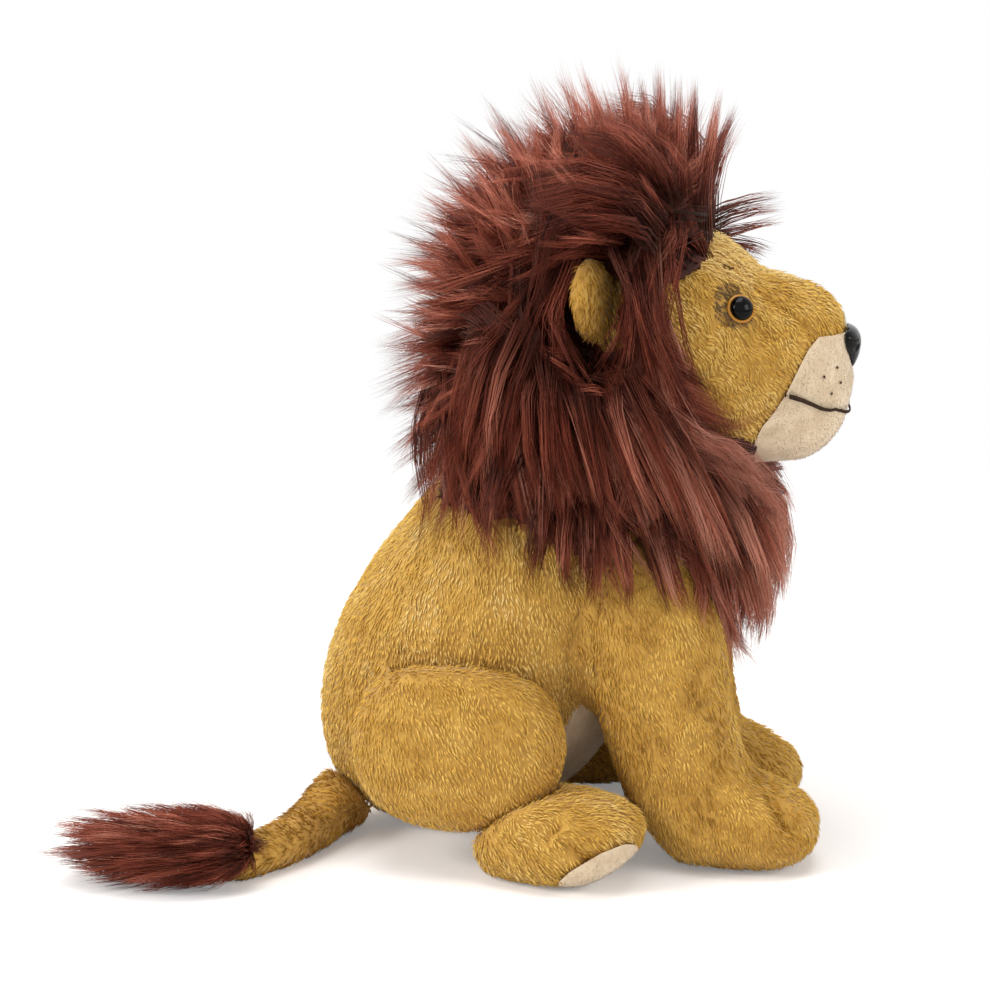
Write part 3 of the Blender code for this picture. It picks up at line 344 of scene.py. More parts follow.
def coat(thing, material, smooth=True):
    """Gives a piece its one material, and smooth faces."""
    thing.data.materials.clear()
    thing.data.materials.append(material)
    if smooth:
        thing.data.shade_smooth()


def link(name, mesh, material, smooth=True):
    """A coated object at the origin for a mesh."""
    made = bpy.data.objects.new(name, mesh)
    bpy.context.scene.collection.objects.link(made)
    coat(made, material, smooth)
    return made


def sewn(name, work, material, smooth=True):
    """An object for an open bmesh, which is used up."""
    mesh = bpy.data.meshes.new(name)
    work.to_mesh(mesh)
    work.free()
    return link(name, mesh, material, smooth)


def opened(*meshes):
    """One open bmesh of several meshes."""
    work = bmesh.new()
    for mesh in meshes:
        work.from_mesh(mesh)
    return work


def tree_of(*meshes):
    """One search tree over several meshes."""
    work = opened(*meshes)
    made = BVHTree.FromBMesh(work)
    work.free()
    return made


def merged_copy(*nodes):
    """An open copy of one or more solids, their loose triangles joined."""
    work = opened(*(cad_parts[node].data for node in nodes))
    bmesh.ops.remove_doubles(work, verts=work.verts, dist=1e-6)
    return work


def applied(thing):
    """Replaces an object's mesh by what its modifiers make of it."""
    graph = bpy.context.evaluated_depsgraph_get()
    made = bpy.data.meshes.new_from_object(thing.evaluated_get(graph), depsgraph=graph)
    thing.modifiers.clear()
    old = thing.data
    thing.data = made
    bpy.data.meshes.remove(old)


def remade(thing, voxel, rounds):
    """An open bmesh of a piece: its net made even, then smoothed so many rounds."""
    even = thing.modifiers.new("Remesh", "REMESH")
    even.mode = "VOXEL"
    even.voxel_size = voxel
    applied(thing)
    work = opened(thing.data)
    for _ in range(rounds):
        bmesh.ops.smooth_vert(work, verts=work.verts, factor=0.5, use_axis_x=True,
                              use_axis_y=True, use_axis_z=True)
    return work


def rounded(thing, levels):
    """Rounds a piece by subdivision."""
    finer = thing.modifiers.new("Subdivision", "SUBSURF")
    finer.levels = finer.render_levels = levels
    applied(thing)


def blown_up(thing):
    """Fills a skin as cloth under pressure, and caps how far it moves."""
    before = points_of(thing.data)
    cloth = thing.modifiers.new("Cloth", "CLOTH")
    cloth.settings.use_pressure = True
    cloth.settings.uniform_pressure_force = PRESSURE
    cloth.settings.effector_weights.gravity = 0.0
    cloth.settings.tension_stiffness = STIFFNESS
    cloth.settings.compression_stiffness = STIFFNESS
    cloth.settings.bending_stiffness = BENDING
    cloth.point_cache.frame_start = 1
    cloth.point_cache.frame_end = SIM_FRAMES
    for step in range(1, SIM_FRAMES + 1):
        bpy.context.scene.frame_set(step)
    applied(thing)
    move = points_of(thing.data) - before
    length = np.linalg.norm(move, axis=1, keepdims=True)
    capped = before + move * np.minimum(1, MOST_SWELL / np.maximum(length, 1e-9))
    thing.data.vertices.foreach_set("co", capped.ravel())
    bpy.context.scene.frame_set(1)


def skin(name, node, voxel):
    """A stuffed skin over a solid, held close to it and above the floor."""
    parts = [node] + FILLED_BY.get(node, [])
    made = sewn(name, merged_copy(*parts), golden_ground)
    work = remade(made, voxel, SKIN_ROUNDS)
    work.to_mesh(made.data)
    work.free()
    blown_up(made)
    solids = [tree_of(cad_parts[part].data) for part in parts]
    held = points_of(made.data)
    for index, point in enumerate(held):
        near, normal, _, gap = min((solid.find_nearest(Vector(point)) for solid in solids),
                                   key=lambda hit: hit[3])
        most = MOST_PROUD if (Vector(point) - near).dot(normal) > 0 else MOST_SUNK
        if gap > most:
            held[index] = near + (Vector(point) - near) * (most / gap)
    held[:, 2] = np.maximum(held[:, 2], FLOOR_CLEAR)
    made.data.vertices.foreach_set("co", held.ravel())
    made.data.update()
    rounded(made, 1)
    coat(made, golden_ground)
    return made


# %% [markdown]
# The golden skins are the torso, head, ears, legs, feet and tail. The cream ones are the
# belly, muzzle, chin and the soles of the hind feet.

# %% A thin panel
PANEL_CORNER = math.radians(38)


def panel(name, node):
    """A thin panel's skin: its own net rounded by subdivision, sharp edges kept."""
    work = merged_copy(node)
    crease = work.edges.layers.float.new("crease_edge")
    for edge in work.edges:
        if not edge.is_manifold or edge.calc_face_angle() > PANEL_CORNER:
            edge[crease] = 1.0
            edge.smooth = False
    made = sewn(name, work, cream_ground, smooth=False)
    rounded(made, 2)
    coat(made, cream_ground, smooth=False)
    return made


# %% Make the skins
GOLDEN = {
    # solid: the body it rides on, the net's spacing, and then how its pile lies:
    # forward, up, how far the tufts lean out, how much they are ruffled, tone
    "torso": ("lion", 0.0045, (0.12, -1.0, 0.34, 0.6, 0.55)),
    "head": ("lion", 0.0035, (0.55, -0.83, 0.46, 1.0, 0.50)),
    # The ears' low tone is painted shade from the mane over them.
    "ear_right": ("right_ear", 0.002, (-0.2, -1.0, 0.3, 0.7, 0.09)),
    "ear_left": ("left_ear", 0.002, (-0.2, -1.0, 0.3, 0.7, 0.09)),
    "front_leg_right": ("lion", 0.0040, (0.30, -0.95, 0.34, 0.6, 0.34)),
    "front_leg_left": ("lion", 0.0040, (0.30, -0.95, 0.34, 0.6, 0.34)),
    "thigh_right": ("lion", 0.0035, (0.35, -0.94, 0.34, 0.6, 0.38)),
    "thigh_left": ("lion", 0.0035, (0.35, -0.94, 0.34, 0.6, 0.38)),
    "hind_foot_right": ("lion", 0.0028, (0.75, -0.66, 0.38, 0.7, 0.50)),
    "hind_foot_left": ("lion", 0.0028, (0.75, -0.66, 0.38, 0.7, 0.50)),
    "tail": ("tail_and_tuft", 0.0025, (-1.0, -0.1, 0.34, 0.7, 0.09)),
}
CREAM = {"belly_skin": "belly_panel", "muzzle_skin": "muzzle", "chin_skin": "chin",
         "sole_right_skin": "sole_right", "sole_left_skin": "sole_left"}


def dress(made, node):
    """Puts a skin in the place of its solid."""
    skins[made.name] = made
    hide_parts(node)
    print(made.name, len(made.data.polygons))


for node, (body, voxel, nap) in GOLDEN.items():
    dress(skin(node + "_skin", node, voxel), node)
for name, node in CREAM.items():
    dress(panel(name, node), node)


# %% [markdown]
# ## Creases
# A needle pulls the cloth in along the bridge of the nose, at the eye corners and between
# the toes. The photograph shows where: a line of pixels is followed from the camera onto
# the skin, and copied to the side that the camera doesn't see.

# %% Follow a line of pixels onto a skin
def seen_at(across, down, tree):
    """Where the camera sees a pixel of the photograph on a surface, with the normal there."""
    near, normal, _, _ = tree.ray_cast(camera.location, sight(across, down))
    if near is None:
        far = camera.location + sight(across, down) * CAMERA_DISTANCE
        near, normal, _, _ = tree.find_nearest(far)
    return np.array(near), np.array(normal)


def traced(pixels, tree, step=1.2):
    """A line through pixels, laid on a surface as closely spaced points and normals."""
    spots, normals = [], []
    for (one, two) in zip(pixels[:-1], pixels[1:]):
        count = max(2, int(math.dist(one, two) / step))
        for share in np.arange(count) / count:
            spot, normal = seen_at(one[0] + (two[0] - one[0]) * share,
                                   one[1] + (two[1] - one[1]) * share, tree)
            spots.append(spot)
            normals.append(normal)
    return np.array(spots), np.array(normals)


def skins_tree(*names, also=()):
    """One search tree over several skins and other meshes."""
    return tree_of(*[skins[name].data for name in names], *also)


def other_side(spots, tree):
    """The same line on the lion's left, nearest on its own surface."""
    found = [tree.find_nearest(Vector((spot[0], -spot[1], spot[2]))) for spot in spots]
    return (np.array([np.array(hit[0]) for hit in found]),
            np.array([np.array(hit[1]) for hit in found]))


def gap_to(points, line):
    """The distance from each point to the nearest point of a line."""
    return np.sqrt(((points[:, None] - line[None]) ** 2).sum(-1)).min(1)


BROW = ((722, 265), (729, 268), (736, 271))
WHISKERS = ((836.5, 367.7), (823.6, 377), (839.9, 382.6), (830.9, 393.3))
CREASES = (
    # skin, width in mm, depth in mm, pixels from end to end
    ("head_skin", 1.7, 1.5, ((757, 290), (781, 307), (798, 318), (813, 335))),
    ("head_skin", 1.3, 0.8, ((754, 325), (765, 333), (775, 341))),
    ("head_skin", 1.5, 1.1, ((713, 320), (720, 321), (727, 324))),
    ("head_skin", 1.4, 1.5, BROW),
    ("front_leg_right_skin", 3.2, 3.0, ((774, 799), (779, 812), (786, 823), (796, 829))),
    ("hind_foot_right_skin", 1.6, 1.6, ((566, 845), (578, 854), (589, 862))),
    ("hind_foot_right_skin", 1.8, 1.5, ((546, 840), (552, 832), (560, 826))),
    *(("muzzle_skin", 1.2, 0.7, ((across, down), (across + 1, down + 1)))
      for across, down in WHISKERS),
)
pulled = {name: [] for name in skins}
for name, width, depth, pixels in CREASES:
    far_name = name.replace("right", "left")
    near_line, _ = traced(pixels, tree_of(skins[name].data))
    far_line, _ = other_side(near_line, tree_of(skins[far_name].data))
    pulled[name].append((near_line, width / 1000, depth / 1000))
    pulled[far_name].append((far_line, width / 1000, depth / 1000))
for name, lines in pulled.items():
    if not lines:
        continue
    mesh = skins[name].data
    corners = points_of(mesh)
    inward = np.empty(len(mesh.vertices) * 3)
    mesh.vertices.foreach_get("normal", inward)
    inward = -inward.reshape(-1, 3)
    for line, width, depth in lines:
        corners += inward * (depth * np.exp(-(gap_to(corners, line) / width) ** 2))[:, None]
    mesh.vertices.foreach_set("co", corners.ravel())
    mesh.update()
    print("creased", name, len(lines))

# %% [markdown]
# Inside are the fillings. Nobody sees them, but each one is a real piece of the toy, so it
# stays, drawn in a little from the skin round it.

# %% The fillings
FILLING_GAP = 0.005
FILLING_NET = 0.004
EVEN = ("REMESH", {"mode": "VOXEL", "voxel_size": FILLING_NET})
for node in ("torso_stuffing", "head_stuffing"):
    made = sewn(node.replace("stuffing", "filling"), merged_copy(node), filling)
    for kind, settings in (EVEN, ("DISPLACE", {"strength": -FILLING_GAP, "mid_level": 0.0}),
                           EVEN):
        change = made.modifiers.new(kind, kind)
        for setting, value in settings.items():
            setattr(change, setting, value)
        applied(made)
    coat(made, filling)
    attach(made, "lion")
    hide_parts(node)
    print(made.name, len(made.data.polygons))

# %% [markdown]
# ## Strands
# A tuft of pile, a blade of velour and a hair of the mane are the same thing at three
# lengths: a thin spike that bends. One spike is made with operators as a three-sided cone
# cut into rings, and copies of it are laid along their own paths.

# %% One spike and its copies
def spike(rings, plump):
    """A cone of unit height cut at even heights, its middle as thick as plump says."""
    work = bmesh.new()
    bmesh.ops.create_cone(work, cap_ends=True, cap_tris=True, segments=3, radius1=1.0,
                          radius2=0.0, depth=1.0)
    bmesh.ops.translate(work, verts=work.verts, vec=(0, 0, 0.5))
    bmesh.ops.remove_doubles(work, verts=work.verts, dist=1e-5)
    for ring in range(1, rings):
        everything = work.verts[:] + work.edges[:] + work.faces[:]
        bmesh.ops.bisect_plane(work, geom=everything, plane_co=(0, 0, ring / rings),
                               plane_no=(0, 0, 1))
    bmesh.ops.triangulate(work, faces=work.faces)
    bmesh.ops.recalc_face_normals(work, faces=work.faces)
    corners = np.array([corner.co[:] for corner in work.verts])
    height = corners[:, 2]
    fuller = np.where(height < 0.999, (1 - height ** plump) / np.maximum(1 - height, 1e-6), 0)
    corners[:, :2] *= fuller[:, None]
    faces = np.array([[corner.index for corner in face.verts] for face in work.faces])
    work.free()
    return corners, faces


def unit(vectors):
    """Vectors of length one."""
    return vectors / np.maximum(np.linalg.norm(vectors, axis=-1, keepdims=True), 1e-12)


def lay(name, shape, paths, outward, radius, tones, material, flat=1.0):
    """Copies of a spike laid along paths (count, stations, 3), flat across their width."""
    corners, faces = shape
    height = corners[:, 2] * (paths.shape[1] - 1)
    below = np.minimum(np.floor(height + 1e-6).astype(int), paths.shape[1] - 2)
    share = (height - below)[None, :, None]
    along = unit(np.gradient(paths, axis=1))
    side = unit(np.cross(along, outward[:, None, :]))
    up = np.cross(side, along)
    place = (paths[:, below] * (1 - share) + paths[:, below + 1] * share
             + side[:, below] * (corners[:, 0] * radius)[:, None]
             + up[:, below] * (corners[:, 1] * radius * flat)[:, None])
    count = len(paths)
    every = (faces[None] + np.arange(count)[:, None, None] * len(corners)).reshape(-1, 3)
    mesh = bpy.data.meshes.new(name)
    mesh.vertices.add(count * len(corners))
    mesh.vertices.foreach_set("co", place.reshape(-1))
    mesh.loops.add(len(every) * 3)
    mesh.loops.foreach_set("vertex_index", every.reshape(-1).astype(np.int32))
    mesh.polygons.add(len(every))
    mesh.polygons.foreach_set("loop_start", np.arange(0, len(every) * 3, 3, dtype=np.int32))
    mesh.update(calc_edges=True)
    tone = np.clip(tones, 0.02, 0.98)[:, None] + TONE_WIDTH * corners[None, :, 0]
    rise = np.broadcast_to(0.02 + 0.96 * corners[:, 2], tone.shape)
    chart = np.stack([tone, rise], axis=-1).reshape(-1, 2)[every.reshape(-1)]
    mesh.uv_layers.new(name="OFBake").data.foreach_set("uv", chart.reshape(-1))
    return link(name, mesh, material)


# %% [markdown]
# Cloth never lies perfectly even, so tufts turn, lean and change tone in soft waves. A sum
# of a few sine waves in random directions gives such a wave anywhere, the same every time.

# %% Scattering over a surface
def wave(points, length, seed):
    """A smooth value about -1 to 1 at each point, with waves about that long."""
    draw = np.random.default_rng(seed)
    directions = unit(draw.normal(size=(9, 3)))
    sizes = length * draw.uniform(0.7, 1.6, 9)
    turns = points @ (directions * (2 * math.pi / sizes)[:, None]).T
    return np.sin(turns + draw.uniform(0, 2 * math.pi, 9)).sum(1) / 3.2


def scatter(mesh, spacing, seed):
    """Points and normals spread over a mesh, about that far apart."""
    draw = np.random.default_rng(seed)
    mesh.calc_loop_triangles()
    corners = points_of(mesh)
    triples = np.empty(len(mesh.loop_triangles) * 3, np.int32)
    mesh.loop_triangles.foreach_get("vertices", triples)
    ends = corners[triples.reshape(-1, 3)]
    cross = np.cross(ends[:, 1] - ends[:, 0], ends[:, 2] - ends[:, 0])
    area = np.linalg.norm(cross, axis=1) / 2
    count = int(area.sum() / spacing ** 2 * 3)
    chosen = draw.choice(len(ends), count, p=area / area.sum())
    one, two = draw.random((2, count))
    over = one + two > 1
    one[over], two[over] = 1 - one[over], 1 - two[over]
    spots = (ends[chosen, 0] + one[:, None] * (ends[chosen, 1] - ends[chosen, 0])
             + two[:, None] * (ends[chosen, 2] - ends[chosen, 0]))
    cells = np.floor(spots / (spacing * 1.12)).astype(np.int64)
    _, kept = np.unique(cells, axis=0, return_index=True)
    return spots[kept], unit(cross[chosen[kept]])


def inside(tree, point):
    """True where a point is inside a closed surface."""
    near, normal, _, _ = tree.find_nearest(Vector(point))
    return near is not None and (Vector(point) - near).dot(normal) < 0


skin_trees = {name: tree_of(thing.data) for name, thing in skins.items()}
print("search trees", len(skin_trees))

# %% [markdown]
# ## Where the limbs join the body
# A limb is sewn into the body along a seam, and the stuffing pushes both out until the pile
# closes over it. One smooth cloth over limb and body shows how: it is kept only where it
# bridges the groove, at the shoulders and behind and under the thighs.

# %% Bridge the grooves
THIGH = {side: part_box("thigh_" + side) for side in ("right", "left")}
TAIL_ROOT = Vector((-0.032, -0.018, 0.0245))
TAIL_CLEAR = 0.026
SHOULDER_LOWEST = 0.045
HAUNCH_LOWEST = 0.005
GUSSET_NET = 0.0030
GUSSET_ROUNDS = 26
GUSSET_LIFT = 0.0003
GUSSET_CLOTH = 0.0008


def proud_of(tree, point):
    """How far a point stands out of a closed surface."""
    near, normal, _, gap = tree.find_nearest(point)
    return gap if (point - near).dot(normal) > 0 else -gap


def behind_thigh(side):
    """A test for places behind or under a thigh, clear of the tail."""
    low, high = THIGH[side]
    middle = (low + high) / 2

    def chosen(place):
        reach = (place.x - middle.x) / (high.x - low.x) + (place.z - middle.z) / (high.z - low.z)
        clear = (place - TAIL_ROOT).length > TAIL_CLEAR
        return reach < 0.05 and place.z > HAUNCH_LOWEST and clear
    return chosen


def gusset(name, limb, chosen):
    """A strip of cloth over the groove between the torso and a limb."""
    work = opened(skins["torso_skin"].data, skins[limb].data)
    made = sewn(name, work, golden_ground)
    work = remade(made, GUSSET_NET, GUSSET_ROUNDS)
    near = (skin_trees["torso_skin"], skin_trees[limb])
    spare = [face for face in work.faces
             if not chosen(face.calc_center_median())
             or min(proud_of(tree, face.calc_center_median()) for tree in near) < GUSSET_LIFT]
    bmesh.ops.delete(work, geom=spare, context="FACES")
    bmesh.ops.solidify(work, geom=work.faces[:], thickness=GUSSET_CLOTH)
    bmesh.ops.recalc_face_normals(work, faces=work.faces)
    work.to_mesh(made.data)
    work.free()
    coat(made, golden_ground)
    skins[name] = made
    skin_trees[name] = tree_of(made.data)
    pulled[name] = []
    print(name, len(made.data.polygons))


for side in ("right", "left"):
    gusset(f"shoulder_{side}_gusset", f"front_leg_{side}_skin",
           lambda place: place.z > SHOULDER_LOWEST)
    gusset(f"haunch_{side}_gusset", f"thigh_{side}_skin", behind_thigh(side))

# %% [markdown]
# ## The form of the mane
# The four mane solids are joined into one smooth envelope. It is never shown: the tips of
# the locks reach it. The long pile's own knitted backing lies on the head and shoulders.

# %% Envelope and backing of the mane
MANE = ("mane_crown", "mane_right", "mane_left", "mane_bib")
MANE_CLOSE, MANE_DEEP = 0.013, 0.018
ENVELOPE_ROUNDS = 3
BACKING_LIFT = 0.0014
BACKING_CLOTH = 0.0010


def envelope(name, nodes, voxel):
    """One closed smooth surface round several solids."""
    made = sewn(name, merged_copy(*nodes), russet_ground)
    work = remade(made, voxel, ENVELOPE_ROUNDS)
    work.to_mesh(made.data)
    work.free()
    return made


mane_form = envelope("mane_form", MANE, 0.004)
mane_tree = tree_of(mane_form.data)
print("mane envelope faces", len(mane_form.data.polygons))


def backing(name, skin_name, deep):
    """The knitted backing of the long pile: the part of a skin with the mane over it."""
    work = opened(skins[skin_name].data)
    outside = [face for face in work.faces
               if not inside(mane_tree, face.calc_center_median() + face.normal * deep)]
    bmesh.ops.delete(work, geom=outside, context="FACES")
    for corner in work.verts:
        corner.co += corner.normal * BACKING_LIFT
    bmesh.ops.solidify(work, geom=work.faces[:], thickness=BACKING_CLOTH)
    bmesh.ops.recalc_face_normals(work, faces=work.faces)
    made = sewn(name, work, russet_ground)
    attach(made, "lion")
    print(name, len(made.data.polygons))
    return made


backings = [backing("mane_backing_head", "head_skin", MANE_CLOSE),
            backing("mane_backing_torso", "torso_skin", MANE_DEEP)]

# %% [markdown]
# ## Grooming the mane
# A comb leaves directions behind. Each row of this table is one place on the side of the
# mane as the photograph shows it, in millimetres forward and up, then which way the locks
# run there, how much they stand up, how long they are and how light.

# %% The comb table
COMB = np.array([
    # forward, up, run forward, run up, stand, length, tone
    # The crest rows are lighter: painted highlight on the top of the mane.
    (107, 251, 0.25, 1.00, 0.90, 44, 0.68),
    (80, 262, -0.15, 1.00, 0.92, 50, 0.66),
    (52, 258, -0.40, 0.95, 0.92, 50, 0.62),
    (25, 244, -0.75, 0.65, 0.85, 48, 0.52),
    (3, 225, -0.90, 0.40, 0.85, 46, 0.50),
    (-8, 203, -1.00, 0.20, 0.82, 46, 0.48),
    (-12, 178, -1.00, -0.10, 0.82, 48, 0.46),
    (-12, 152, -0.95, -0.40, 0.80, 50, 0.45),
    (-4, 134, -0.70, -0.75, 0.60, 46, 0.45),
    (90, 214, -0.95, 0.30, 0.35, 58, 0.42),
    (61, 220, -1.00, -0.02, 0.32, 60, 0.45),
    (32, 207, -0.95, -0.25, 0.38, 55, 0.40),
    (14, 189, -0.90, -0.30, 0.50, 50, 0.40),
    (61, 238, -0.70, 0.65, 0.55, 55, 0.45),
    (94, 238, -0.35, 0.90, 0.55, 50, 0.50),
    # The two darker rows near the ear are painted shade.
    (39, 182, -0.35, -0.95, 0.32, 52, 0.28),
    (25, 160, -0.15, -1.00, 0.30, 52, 0.32),
    (76, 189, 0.05, -1.00, 0.28, 56, 0.42),
    (87, 174, 0.45, -0.90, 0.24, 60, 0.50),
    (61, 152, 0.30, -0.95, 0.24, 60, 0.44),
    (47, 127, 0.20, -1.00, 0.20, 50, 0.60),
    (18, 134, 0.10, -1.00, 0.24, 50, 0.55),
    (-4, 166, -0.90, -0.45, 0.72, 48, 0.45),
    (3, 146, -0.80, -0.60, 0.62, 46, 0.45),
    (83, 134, 0.50, -0.87, 0.24, 60, 0.66),
    # The chest rows are lighter: painted highlight where the light falls on the chest.
    (109, 123, 0.42, -0.90, 0.24, 58, 0.95),
    (122, 142, 0.25, -0.95, 0.28, 55, 1.05),
    (112, 94, 0.35, -0.94, 0.20, 46, 0.98),
], float)


def combed(points):
    """The comb table's values at each point, blended by nearness."""
    across = points[:, None, 0] * 1000 - COMB[None, :, 0]
    upward = points[:, None, 2] * 1000 - COMB[None, :, 1]
    weight = 1 / (across ** 2 + upward ** 2 + 40) ** 1.6
    return (weight / weight.sum(1, keepdims=True)) @ COMB[:, 2:]


# %% Grow the locks
HAIR = spike(3, 2.2)
STATIONS = 6
HAIR_RADIUS = 0.00015
LOCK_SPACING = 0.0058
HAIRS_IN_LOCK = 16
LOCK_SPREAD = 0.0034
MOST_HAIRS = 9000
INNER_SHARE = 0.45
INNER_SUNK = 0.012
# Inner locks, sunk under the outer ones, are darker: painted shade deep in the mane.
INNER_PAINTED_SHADE = 0.26
ear_boxes = {side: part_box("ear_" + side) for side in ("right", "left")}
body_trees = [skin_trees["head_skin"], skin_trees["torso_skin"]]
solid_trees = body_trees + [skin_trees[name] for name in (
    "front_leg_right_skin", "front_leg_left_skin", "muzzle_skin", "chin_skin")]


def depth_below(point, normal):
    """How far in from the envelope the head or body lies under a point."""
    start = Vector(point)
    found = [hit[3] for hit in (tree.ray_cast(start, -Vector(normal), 0.08)
                                for tree in body_trees) if hit[0] is not None]
    return min(found) if found else 0.05


def hides_ear(points):
    """True where a lock would pass in front of an ear."""
    for low, high in ear_boxes.values():
        middle = (low + high) / 2
        outer = abs(middle.y) - 0.010
        across = np.abs(points[:, 0] - middle.x) < (high.x - low.x) / 2 + 0.001
        upward = np.abs(points[:, 2] - middle.z) < (high.z - low.z) / 2 - 0.001
        same = points[:, 1] * middle.y > 0
        if (across & upward & same & (np.abs(points[:, 1]) > outer)).any():
            return True
    return False


def loose(form_tree, curve, slack):
    """True where a lock leaves the mane before its tip, or its root is in the open."""
    for place, point in enumerate(curve):
        near, normal, _, gap = form_tree.find_nearest(Vector(point))
        outside = (Vector(point) - near).dot(normal) > 0
        if place == 0 and not outside and gap < 0.002:
            return True
        if not outside:
            continue
        if place < 2 and not any(inside(tree, point) for tree in body_trees):
            return True
        if gap > slack:
            return True
    return False


def laid_over(curve, clear=0.0012):
    """Lifts the outer half of a lock out of the head, body and legs."""
    for place in range(2, len(curve)):
        for tree in solid_trees:
            point = Vector(curve[place])
            near, normal, _, gap = tree.find_nearest(point, 0.03)
            if near is not None and (point - near).dot(normal) < 0:
                curve[place] = np.array(near) + np.array(normal) * clear
    return curve


def lock_paths(form_tree, spots, normals, seed, under=0.0):
    """A curve for each lock, from its root under the envelope to its tip on it."""
    draw = np.random.default_rng(seed)
    values = combed(spots)
    paths, ups, tones = [], [], []
    for spot, normal, value in zip(spots, normals, values):
        run_x, run_z, stand, length, tone = value
        fan = 0.30 * spot[1] / 0.06 * max(run_z, 0)
        flow = np.array([run_x, fan + draw.normal(0, 0.08), run_z])
        flow = flow + draw.normal(0, 0.12, 3)
        flow = flow - normal * (flow @ normal)
        level = min(1.0, max(0.2, 1.3 * np.linalg.norm(flow)))
        flow = unit(flow)
        length = length * draw.uniform(0.90, 1.35) / 1000
        room = depth_below(spot, normal)
        depth = min(length * min(0.95, stand + 0.15), room * 0.85)
        reach = math.sqrt(max(length ** 2 - depth ** 2, 1e-8)) * level
        stations = []
        for share, sink in ((1.0, 1.0), (0.66, 0.50), (0.30, 0.12)):
            near, facing, _, _ = form_tree.find_nearest(Vector(spot - flow * reach * share))
            stations.append(np.array(near) - np.array(facing) * depth * sink)
        end = unit(flow * math.sqrt(1 - min(stand, 0.98) ** 2) + normal * stand)
        hem = not inside(form_tree, spot + flow * 0.010 - normal * 0.004)
        if stand > 0.5 and draw.random() < 0.16:
            over = draw.uniform(0.003, 0.013) - under
        elif stand > 0.5:
            over = draw.uniform(-0.012, 0.000) - under
        elif hem:
            over = draw.uniform(0.000, 0.006 if spot[0] > 0.112 else 0.024)
        else:
            over = draw.uniform(-0.003, 0.005)
        stations.append(spot + end * over - normal * under * 0.4)
        one, two, three, four = stations
        share = np.linspace(0, 1, STATIONS)[:, None]
        curve = ((1 - share) ** 3 * one + 3 * (1 - share) ** 2 * share * two
                 + 3 * (1 - share) * share ** 2 * three + share ** 3 * four)
        curve = laid_over(curve)
        steps = np.linalg.norm(np.diff(curve, axis=0), axis=1)
        if unit(curve[-1] - curve[0]) @ end < 0.5 or steps.max() > 2.2 * steps.mean():
            continue
        if hides_ear(curve) or loose(form_tree, curve[:-1], 0.006 + max(over, 0) * 0.9):
            continue
        paths.append(curve)
        ups.append(normal)
        tones.append(tone)
    return np.array(paths), np.array(ups), np.array(tones)


def hairs(paths, ups, tones, per_lock, spread, seed):
    """Splits each lock into hairs that start apart and meet near the tip."""
    draw = np.random.default_rng(seed)
    count = len(paths) * per_lock
    centre = np.repeat(paths, per_lock, axis=0)
    up = np.repeat(ups, per_lock, axis=0)
    along = unit(centre[:, -1] - centre[:, 0])
    side = unit(np.cross(along, up))
    turn = draw.uniform(0, 2 * math.pi, count)
    away = np.sqrt(draw.random(count)) * spread
    offset = (side * (np.cos(turn) * away)[:, None]
              + np.cross(side, along) * (np.sin(turn) * away * 0.7)[:, None])
    share = np.linspace(0, 1, paths.shape[1])
    gather = 1.0 - 0.93 * share ** 1.2
    drift = draw.normal(0, 0.0009, (count, 3))
    grown = (centre + offset[:, None, :] * gather[None, :, None]
             + drift[:, None, :] * (share ** 2)[None, :, None])
    short = draw.uniform(0.80, 1.04, count)[:, None, None]
    grown = grown[:, :1] + (grown - grown[:, :1]) * short
    lock_tone = np.repeat(tones + draw.normal(0, 0.21, len(tones)), per_lock)
    return grown, up, np.clip(lock_tone + draw.normal(0, 0.09, count), 0.03, 0.97)


def faces_open_air(spot, normal):
    """True where nothing of the mane or head stands close in front of a point."""
    start = Vector(spot) + Vector(normal) * 0.0025
    ahead = [tree.ray_cast(start, Vector(normal), 0.035)[0]
             for tree in [mane_tree] + body_trees]
    return all(hit is None for hit in ahead)


spots, normals = scatter(mane_form.data, LOCK_SPACING, 11)
open_air = np.array([faces_open_air(spot, normal)
                     and not any(inside(tree, spot) for tree in body_trees)
                     for spot, normal in zip(spots, normals)])
spots, normals = spots[open_air], normals[open_air]
outer = lock_paths(mane_tree, spots, normals, 12)
shift = np.random.default_rng(13).permutation(len(spots))[:int(len(spots) * INNER_SHARE)]
inner = lock_paths(mane_tree, spots[shift], normals[shift], 14, INNER_SUNK)
print("locks", len(outer[0]), "outer and", len(inner[0]), "inner")

# %% [markdown]
# Where the mane meets the face its edge shows every lock, so these are listed one by one:
# each row follows one lock of the photograph from root to tip, on the cheek that the camera
# sees and mirrored to the other. The last few blow forward from the far side of the forehead.

# %% The locks at the face
CHEEK = (
    # root, middle and tip, in pixels across and down
    ((716, 232), (708, 196), (704, 150)), ((708, 238), (696, 204), (684, 158)),
    ((698, 242), (684, 210), (666, 168)), ((688, 246), (672, 218), (648, 180)),
    ((678, 250), (662, 226), (634, 196)), ((668, 256), (652, 236), (622, 210)),
    ((640, 252), (655, 268), (664, 290)), ((630, 268), (645, 288), (662, 306)),
    ((626, 284), (642, 304), (664, 322)), ((624, 300), (644, 324), (672, 345)),
    ((626, 312), (652, 342), (690, 368)), ((628, 325), (660, 358), (706, 386)),
    ((630, 336), (668, 374), (720, 404)), ((634, 350), (676, 388), (736, 418)),
    ((636, 366), (684, 402), (750, 432)), ((640, 382), (692, 418), (762, 450)),
    ((644, 398), (700, 436), (770, 472)), ((650, 414), (708, 458), (778, 498)),
    ((656, 432), (712, 480), (782, 524)), ((662, 452), (716, 502), (784, 552)),
    ((668, 440), (726, 470), (781, 508)), ((690, 448), (740, 476), (786, 522)),
)
